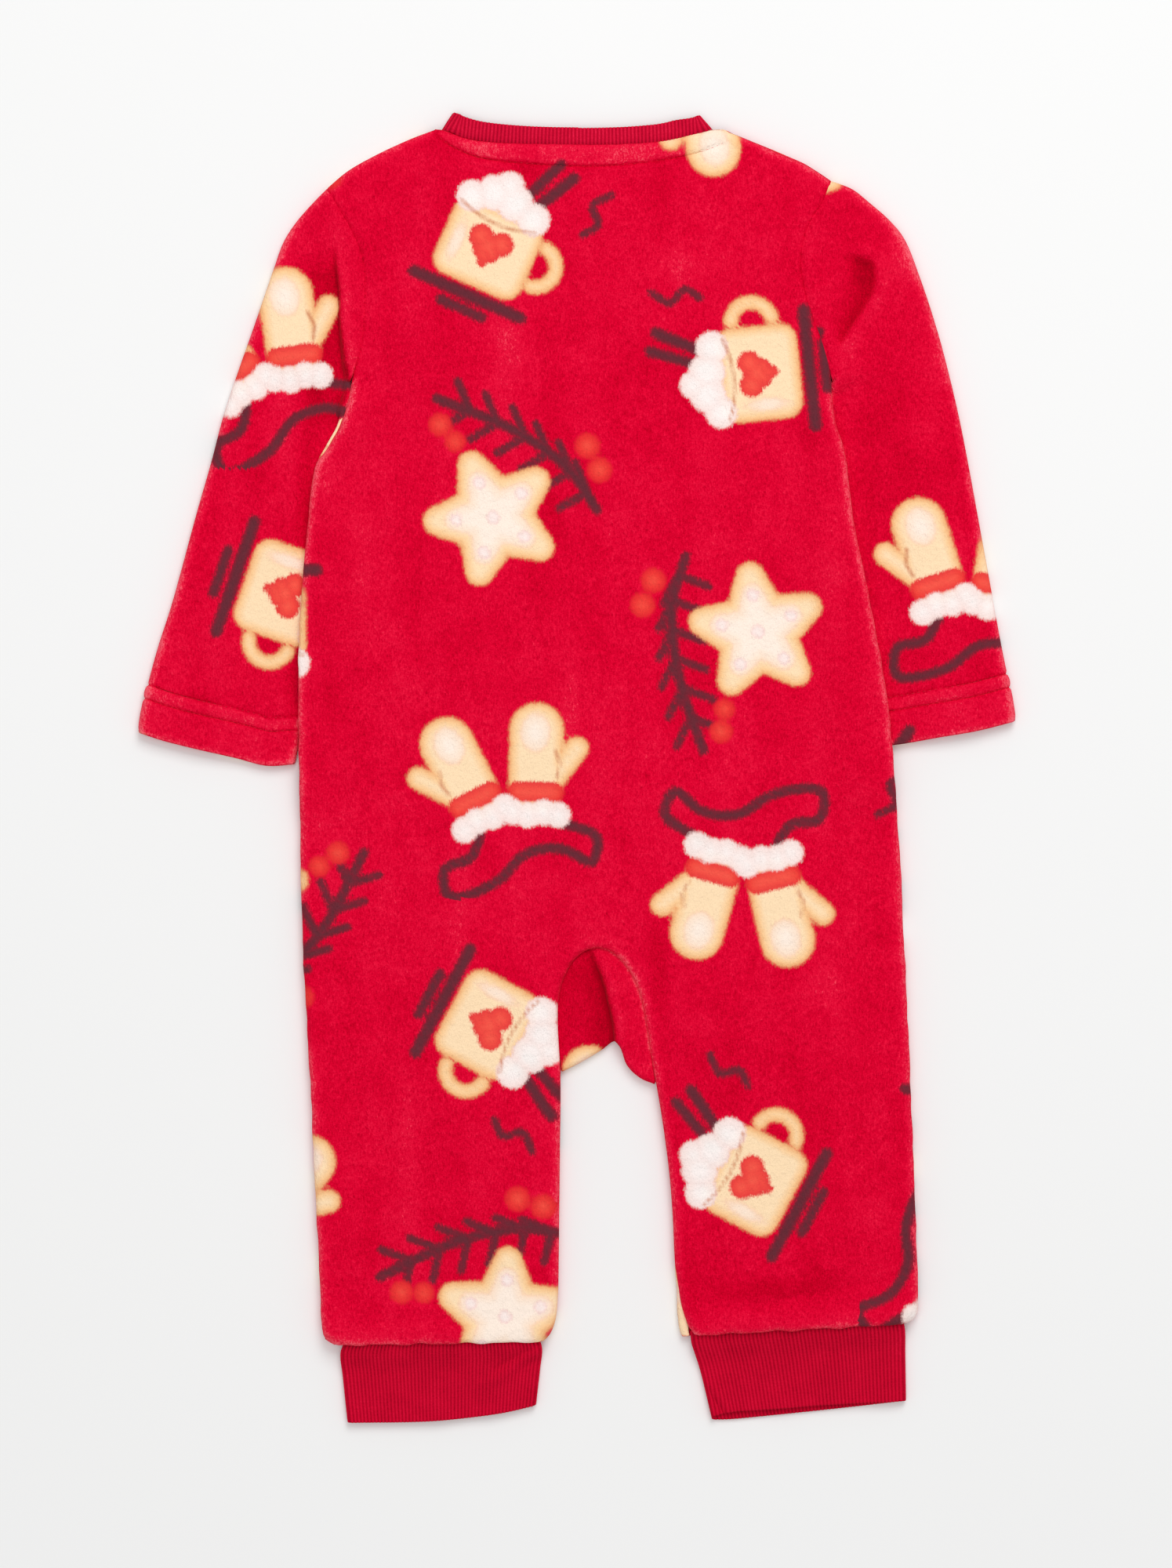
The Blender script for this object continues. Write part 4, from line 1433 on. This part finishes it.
class Finish:
    """A Principled material whose look is worked out from noise, waves and the mesh's attributes."""

    def __init__(self, name, roughness, specular, sheen=0.0, tint=(255, 60, 70), sheen_rough=0.5, metallic=0.0):
        self.material = bpy.data.materials.new(name)
        self.material.use_nodes = True
        self.tree = self.material.node_tree
        self.tree.nodes.clear()
        out = self.new("ShaderNodeOutputMaterial")
        self.shader = self.new("ShaderNodeBsdfPrincipled")
        self.tree.links.new(self.shader.outputs[0], out.inputs[0])
        for key, value in (("Roughness", roughness), ("Specular IOR Level", specular), ("Sheen Weight", sheen),
                           ("Sheen Roughness", sheen_rough), ("Metallic", metallic), ("Sheen Tint", linear(*tint))):
            self.shader.inputs[key].default_value = value
        self.place = self.new("ShaderNodeTexCoord").outputs["Object"]

    def new(self, kind):
        return self.tree.nodes.new(kind)

    def put(self, socket, value):
        if isinstance(value, bpy.types.NodeSocket):
            self.tree.links.new(value, socket)
        else:
            socket.default_value = value

    def math(self, kind, a, b=0.0, c=0.0, clamp=False):
        n = self.new("ShaderNodeMath")
        n.operation, n.use_clamp = kind, clamp
        for socket, value in zip(n.inputs, (a, b, c)):
            self.put(socket, value)
        return n.outputs[0]

    def add(self, a, b, clamp=False):
        return self.math("ADD", a, b, clamp=clamp)

    def times(self, a, b, clamp=False):
        return self.math("MULTIPLY", a, b, clamp=clamp)

    def noise(self, size, detail=2.0, rough=0.5, place=None, distortion=0.0):
        """Noise about -0.5 to 0.5 with lumps of a size in mm."""
        n = self.new("ShaderNodeTexNoise")
        n.inputs["Scale"].default_value = 1000.0 / size if place is None else 1.0 / size
        n.inputs["Detail"].default_value = detail
        n.inputs["Roughness"].default_value = rough
        n.inputs["Distortion"].default_value = distortion
        self.put(n.inputs["Vector"], self.place if place is None else place)
        return self.add(n.outputs["Fac"], -0.5)

    def attribute(self, name):
        n = self.new("ShaderNodeAttribute")
        n.attribute_name = name
        return n

    def parts(self, vector):
        n = self.new("ShaderNodeSeparateXYZ")
        self.put(n.inputs[0], vector)
        return n.outputs

    def mix(self, share, a, b):
        n = self.new("ShaderNodeMix")
        n.data_type = "RGBA"
        self.put(n.inputs["Factor"], share)
        self.put(n.inputs[6], a)
        self.put(n.inputs[7], b)
        return n.outputs[2]

    def ramp(self, value, stops):
        n = self.new("ShaderNodeValToRGB")
        e = n.color_ramp.elements
        while len(e) < len(stops):
            e.new(0.5)
        for element, (at_value, colour) in zip(e, stops):
            element.position, element.color = at_value, linear(*colour)
        self.put(n.inputs[0], value)
        return n.outputs[0]

    def bump(self, height, distance, strength=1.0):
        """height in units of distance, distance in mm."""
        n = self.new("ShaderNodeBump")
        n.inputs["Strength"].default_value = strength
        n.inputs["Distance"].default_value = distance * MM
        self.put(n.inputs["Height"], height)
        self.put(self.shader.inputs["Normal"], n.outputs[0])

    def colour(self, value):
        self.put(self.shader.inputs["Base Color"], value)


GROUND = ((0.0, (168, 0, 26)), (0.28, (202, 0, 36)), (0.5, (225, 4, 49)), (0.7, (237, 22, 62)), (1.0, (252, 100, 116)))
PRINT_COLOURS = {      # from the edge of a shape inwards
    "dark": ((0.0, (138, 30, 50)), (0.35, (98, 46, 56)), (1.0, (84, 52, 60))),
    "tan": ((0.0, (222, 140, 98)), (0.16, (241, 180, 124)), (0.45, (252, 208, 154)), (1.0, (255, 227, 186))),
    "bright": ((0.0, (228, 36, 48)), (0.5, (240, 60, 56)), (1.0, (248, 82, 68))),
    "cream": ((0.0, (249, 208, 176)), (0.3, (252, 226, 204)), (1.0, (253, 236, 222))),
    "white": ((0.0, (243, 208, 202)), (0.25, (250, 230, 224)), (1.0, (253, 245, 241))),
    "line": ((0.0, (206, 126, 86)), (1.0, (196, 112, 76))),
}


def fleece_material(name):
    """Brushed microfleece: short pile lying down the garment, mottled, with a print whose edges
    break up into the pile."""
    f = Finish(name, 0.95, 0.0, sheen=0.35, tint=(255, 84, 96), sheen_rough=0.45)

    def pile(across, along, turn):
        lay = f.new("ShaderNodeMapping")
        lay.inputs["Rotation"].default_value = (0, 0, math.radians(turn))
        lay.inputs["Scale"].default_value = (1000 / across, 1000 / along, 1000 / across)
        f.put(lay.inputs["Vector"], f.place)
        return f.noise(1.0, 2.0, 0.55, place=lay.outputs[0], distortion=0.25)
    hair, hair2 = pile(0.62, 1.7, 14), pile(0.8, 1.9, -27)
    grain, mid, clump = f.noise(0.62, 1.0, 0.5), f.noise(2.2, 2.0, 0.55), f.noise(6.0, 2.0, 0.5)
    broad = f.noise(19.0, 2.0, 0.5)
    nap = f.attribute("nap").outputs["Fac"]
    fibres = f.add(f.times(hair, 1.0), f.times(hair2, 0.8))
    warp = f.add(f.add(f.times(fibres, 2.2), f.times(grain, 0.9)), f.times(mid, 1.1))
    pa, pb = f.parts(f.attribute("print_a").outputs["Vector"]), f.parts(f.attribute("print_b").outputs["Vector"])
    field = dict(zip(LAYERS, (pa[0], pa[1], pa[2], pb[0], pb[1], pb[2])))
    tone = f.add(0.49, f.times(nap, 0.36))
    for part, share in ((fibres, 0.4), (grain, 0.38), (mid, 0.24), (clump, 0.16), (broad, 0.14)):
        tone = f.add(tone, f.times(part, share))
    colour = f.ramp(tone, GROUND)
    plain = 1.0
    for layer in LAYERS:
        soft = f.add(field[layer], f.times(mid, 1.6))
        paint = f.ramp(f.times(soft, -1 / 5.5, clamp=True), PRINT_COLOURS[layer])
        edge, hairy = (0.75, 1.0) if layer != "line" else (0.7, 0.35)
        inside = f.math("MULTIPLY_ADD", f.add(field[layer], f.times(warp, hairy)), -0.5 / edge, 0.5, clamp=True)
        colour = f.mix(f.times(inside, 0.96 if layer != "line" else 0.75), colour, paint)
        if layer in ("tan", "cream", "white"):
            plain = f.times(plain, f.math("MULTIPLY_ADD", inside, -0.75, 1.0))
    depth = f.new("ShaderNodeHueSaturation")
    uneven = f.add(f.add(f.times(fibres, 0.24), f.times(grain, 0.17)), f.times(mid, 0.08))
    f.put(depth.inputs["Value"], f.math("MINIMUM", f.math("MULTIPLY_ADD", uneven, plain, f.math("MULTIPLY_ADD", plain, -0.06, 1.05)), 1.1))
    f.put(depth.inputs["Color"], colour)
    f.colour(depth.outputs[0])
    relief = f.add(f.add(f.times(fibres, 0.7), f.times(grain, 0.35)), f.add(f.times(mid, 1.0), f.times(clump, 0.8)))
    f.bump(relief, 0.7, 0.7)
    return f.material


def rib_material(name, top, side, deep):
    """A 1x1 rib knit: paler along each rib, darker in the furrows, faint rows of stitches."""
    f = Finish(name, 0.85, 0.05, sheen=0.2, tint=(255, 70, 90), sheen_rough=0.4)
    s, t, _ = f.parts(f.attribute("knit").outputs["Vector"])
    nap = f.attribute("nap").outputs["Fac"]
    turn = f.times(f.add(s, f.times(f.noise(5.0, 2.0), 0.35)), 2 * math.pi / 1.7)
    crest = f.math("MULTIPLY_ADD", f.math("COSINE", turn), 0.5, 0.5)
    saw = f.math("ABSOLUTE", f.math("SINE", f.times(turn, 0.5)))
    wander = f.times(f.noise(2.4, 2.0), 2.2)
    course = f.math("SINE", f.add(f.add(f.times(t, 2 * math.pi / 1.3), f.times(saw, 2.6)), wander))
    fuzz, long = f.noise(0.7, 2.0, 0.6), f.noise(9.0, 2.0)
    tone = f.add(f.add(f.times(crest, 0.5), f.times(course, 0.012)), f.times(fuzz, 0.55))
    tone = f.add(tone, f.add(0.24, f.add(f.times(long, 0.3), f.times(nap, 0.35))), clamp=True)
    f.colour(f.ramp(tone, ((0.0, deep), (0.4, side), (0.8, top), (1.0, tuple(min(255, c + 22) for c in top)))))
    f.bump(f.add(f.times(course, 0.1), f.times(fuzz, 1.1)), 0.2, 0.7)
    return f.material


def thread_material():
    f = Finish("thread", 0.6, 0.25, sheen=0.1, tint=(255, 120, 130))
    twist = f.noise(0.35, 2.0, 0.6)
    f.colour(f.ramp(f.add(f.times(twist, 0.9), 0.5, clamp=True), ((0.0, (170, 0, 32)), (0.5, (207, 4, 46)), (1.0, (232, 34, 70)))))
    f.bump(twist, 0.08, 0.7)
    return f.material


def tape_material():
    """Woven zip tape: a fine herringbone of two reds."""
    f = Finish("zip_tape_weave", 0.75, 0.12, sheen=0.08, tint=(255, 90, 100))
    s, t, _ = f.parts(f.attribute("knit").outputs["Vector"])
    lean = f.math("ABSOLUTE", f.add(f.math("PINGPONG", s, 2.1), -1.05))
    weave = f.math("SINE", f.times(f.add(t, f.times(lean, 1.6)), 2 * math.pi / 0.62))
    warp_way = f.math("SINE", f.times(s, 2 * math.pi / 0.42))
    fuzz = f.noise(0.5, 2.0)
    tone = f.add(f.add(f.times(weave, 0.2), f.times(warp_way, 0.1)), f.add(0.5, f.times(fuzz, 0.5)), clamp=True)
    f.colour(f.ramp(tone, ((0.0, (140, 0, 26)), (0.5, (188, 4, 42)), (1.0, (214, 30, 62)))))
    f.bump(f.add(f.times(weave, 0.6), f.add(f.times(warp_way, 0.4), fuzz)), 0.1, 0.8)
    return f.material


def coil_material():
    f = Finish("zip_coil_plastic", 0.38, 0.45)
    scuff = f.noise(1.6, 3.0, 0.6)
    f.colour(f.ramp(f.add(f.times(scuff, 0.7), 0.5, clamp=True), ((0.0, (164, 2, 34)), (0.6, (200, 8, 48)), (1.0, (218, 40, 70)))))
    f.put(f.shader.inputs["Roughness"], f.math("MULTIPLY_ADD", scuff, 0.35, 0.4))
    f.bump(f.noise(0.5, 2.0), 0.03, 0.6)
    return f.material


def metal_material(name, base):
    """Nickel-plated die casting: soft scratches, a little dull in the hollows."""
    f = Finish(name, 0.3, 0.5, metallic=1.0)
    stretch = f.new("ShaderNodeMapping")
    stretch.inputs["Scale"].default_value = (1.0, 0.12, 1.0)
    f.put(stretch.inputs["Vector"], f.place)
    lines = f.new("ShaderNodeTexNoise")
    lines.inputs["Scale"].default_value, lines.inputs["Detail"].default_value = 5200.0, 3.0
    f.put(lines.inputs["Vector"], stretch.outputs[0])
    cloud = f.noise(1.4, 3.0, 0.6)
    fine = f.add(lines.outputs["Fac"], -0.5)
    tone = f.add(f.add(0.55, f.times(cloud, 0.5)), f.times(fine, 0.35), clamp=True)
    dark = tuple(c * 0.72 for c in base)
    f.colour(f.ramp(tone, ((0.0, dark), (0.6, base), (1.0, tuple(min(255, c * 1.08) for c in base)))))
    f.put(f.shader.inputs["Roughness"], f.math("MULTIPLY_ADD", f.add(cloud, fine), 0.3, 0.32, clamp=True))
    f.bump(f.add(fine, f.times(cloud, 0.6)), 0.02, 0.6)
    return f.material


def floor_material():
    f = Finish("pale_floor", 0.8, 0.2)
    tone = f.add(0.5, f.times(f.noise(220.0, 3.0), 0.4), clamp=True)
    f.colour(f.ramp(tone, ((0.0, (243, 243, 242)), (1.0, (246, 246, 246)))))
    return f.material


# ---------------------------------------------------------------- the garment
fleece = fleece_material("fleece_print")
neck_knit = rib_material("rib_neck", (213, 14, 54), (182, 2, 40), (134, 0, 26))
cuff_knit = rib_material("rib_cuff", (216, 10, 52), (190, 2, 39), (138, 0, 24))
thread = thread_material()

back, back_area = make_back(fleece)
fronts = {side: make_front(side, fleece) for side in ("left", "right")}
sleeves = {side: make_sleeve(side, fleece) for side in ("left", "right")}
cuffs = {side: make_cuff(side, cuff_knit) for side in ("left", "right")}
band, band_area = make_neck_band(neck_knit)
gusset, gusset_area = make_gusset(fleece)
zips = {side: make_zip(side, tape_material() if side == "left" else bpy.data.materials["zip_tape_weave"],
                       coil_material() if side == "left" else bpy.data.materials["zip_coil_plastic"])
        for side in ("left", "right")}
for node, base in (("zip_slider", (196, 194, 190)), ("zip_pull", (202, 200, 196))):
    frame["nodes"][node].material_slots[0].material = metal_material(node + "_metal", base)

top_level = resting_on(back)
neck_stitches = make_stitches("stitches_neck", [(trimmed(spline(TOPSTITCH), 2.0, 2.0), top_level, 1)], thread)
for side in ("left", "right"):
    piece = sleeves[side][0]
    hem = spline(SLEEVE_HEM[side])
    hem = at(hem, np.linspace(0.0, 1.0, 80))
    rows = []
    for groove in GROOVES:
        line = trimmed(inset(hem, -SIDE[side] * groove), 2.4, 2.4)
        rows += [(line, resting_on(piece), 1), (line, resting_on(piece, False), -1)]
    make_stitches("stitches_sleeve_" + side, rows, thread)

# ---------------------------------------------------------------- stage, camera, light
floor_mesh = bpy.data.meshes.new("floor")
floor_mesh.from_pydata([(-3, -3, -0.0003), (3, -3, -0.0003), (3, 3, -0.0003), (-3, 3, -0.0003)], [], [(0, 1, 2, 3)])
floor = bpy.data.objects.new("floor", floor_mesh)
bpy.context.scene.collection.objects.link(floor)
floor_mesh.materials.append(floor_material())

camera_data = bpy.data.cameras.new("camera")
camera_data.sensor_fit = "VERTICAL"
camera_data.sensor_height = 36.0
camera_data.lens = 36.0 * 2.2 / 0.72
camera = bpy.data.objects.new("camera", camera_data)
camera.location = (0.0042, -0.00756, 2.2)
bpy.context.scene.collection.objects.link(camera)
bpy.context.scene.camera = camera


def area_light(name, place, target, size, power, colour=(1, 1, 1)):
    data = bpy.data.lights.new(name, "AREA")
    data.shape, data.size, data.energy, data.color = "SQUARE", size, power, colour
    obj = bpy.data.objects.new(name, data)
    obj.location = place
    obj.rotation_euler = (Vector(target) - Vector(place)).to_track_quat("-Z", "Y").to_euler()
    bpy.context.scene.collection.objects.link(obj)


area_light("key", (0.5, 1.7, 2.1), (0, 0, 0), 1.5, 33.0)
area_light("fill", (-0.2, -0.3, 3.0), (0, 0, 0), 2.6, 26.5)
world = bpy.data.worlds.new("world")
world.use_nodes = True
world.node_tree.nodes["Background"].inputs["Color"].default_value = (1, 1, 1, 1)
world.node_tree.nodes["Background"].inputs["Strength"].default_value = 0.47
bpy.context.scene.world = world
bpy.context.scene.view_settings.view_transform = "Standard"
bpy.context.scene.view_settings.look = "None"

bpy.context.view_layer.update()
triangles = sum(sum(len(p.vertices) - 2 for p in o.data.polygons) for o in bpy.data.objects
                if o.type == "MESH" and o.name != "floor" and not o.hide_render)
for o in bpy.data.objects:
    if o.type == "MESH" and not o.hide_render:
        print("  %-24s %7d" % (o.name, sum(len(p.vertices) - 2 for p in o.data.polygons)))
print("triangles", triangles)
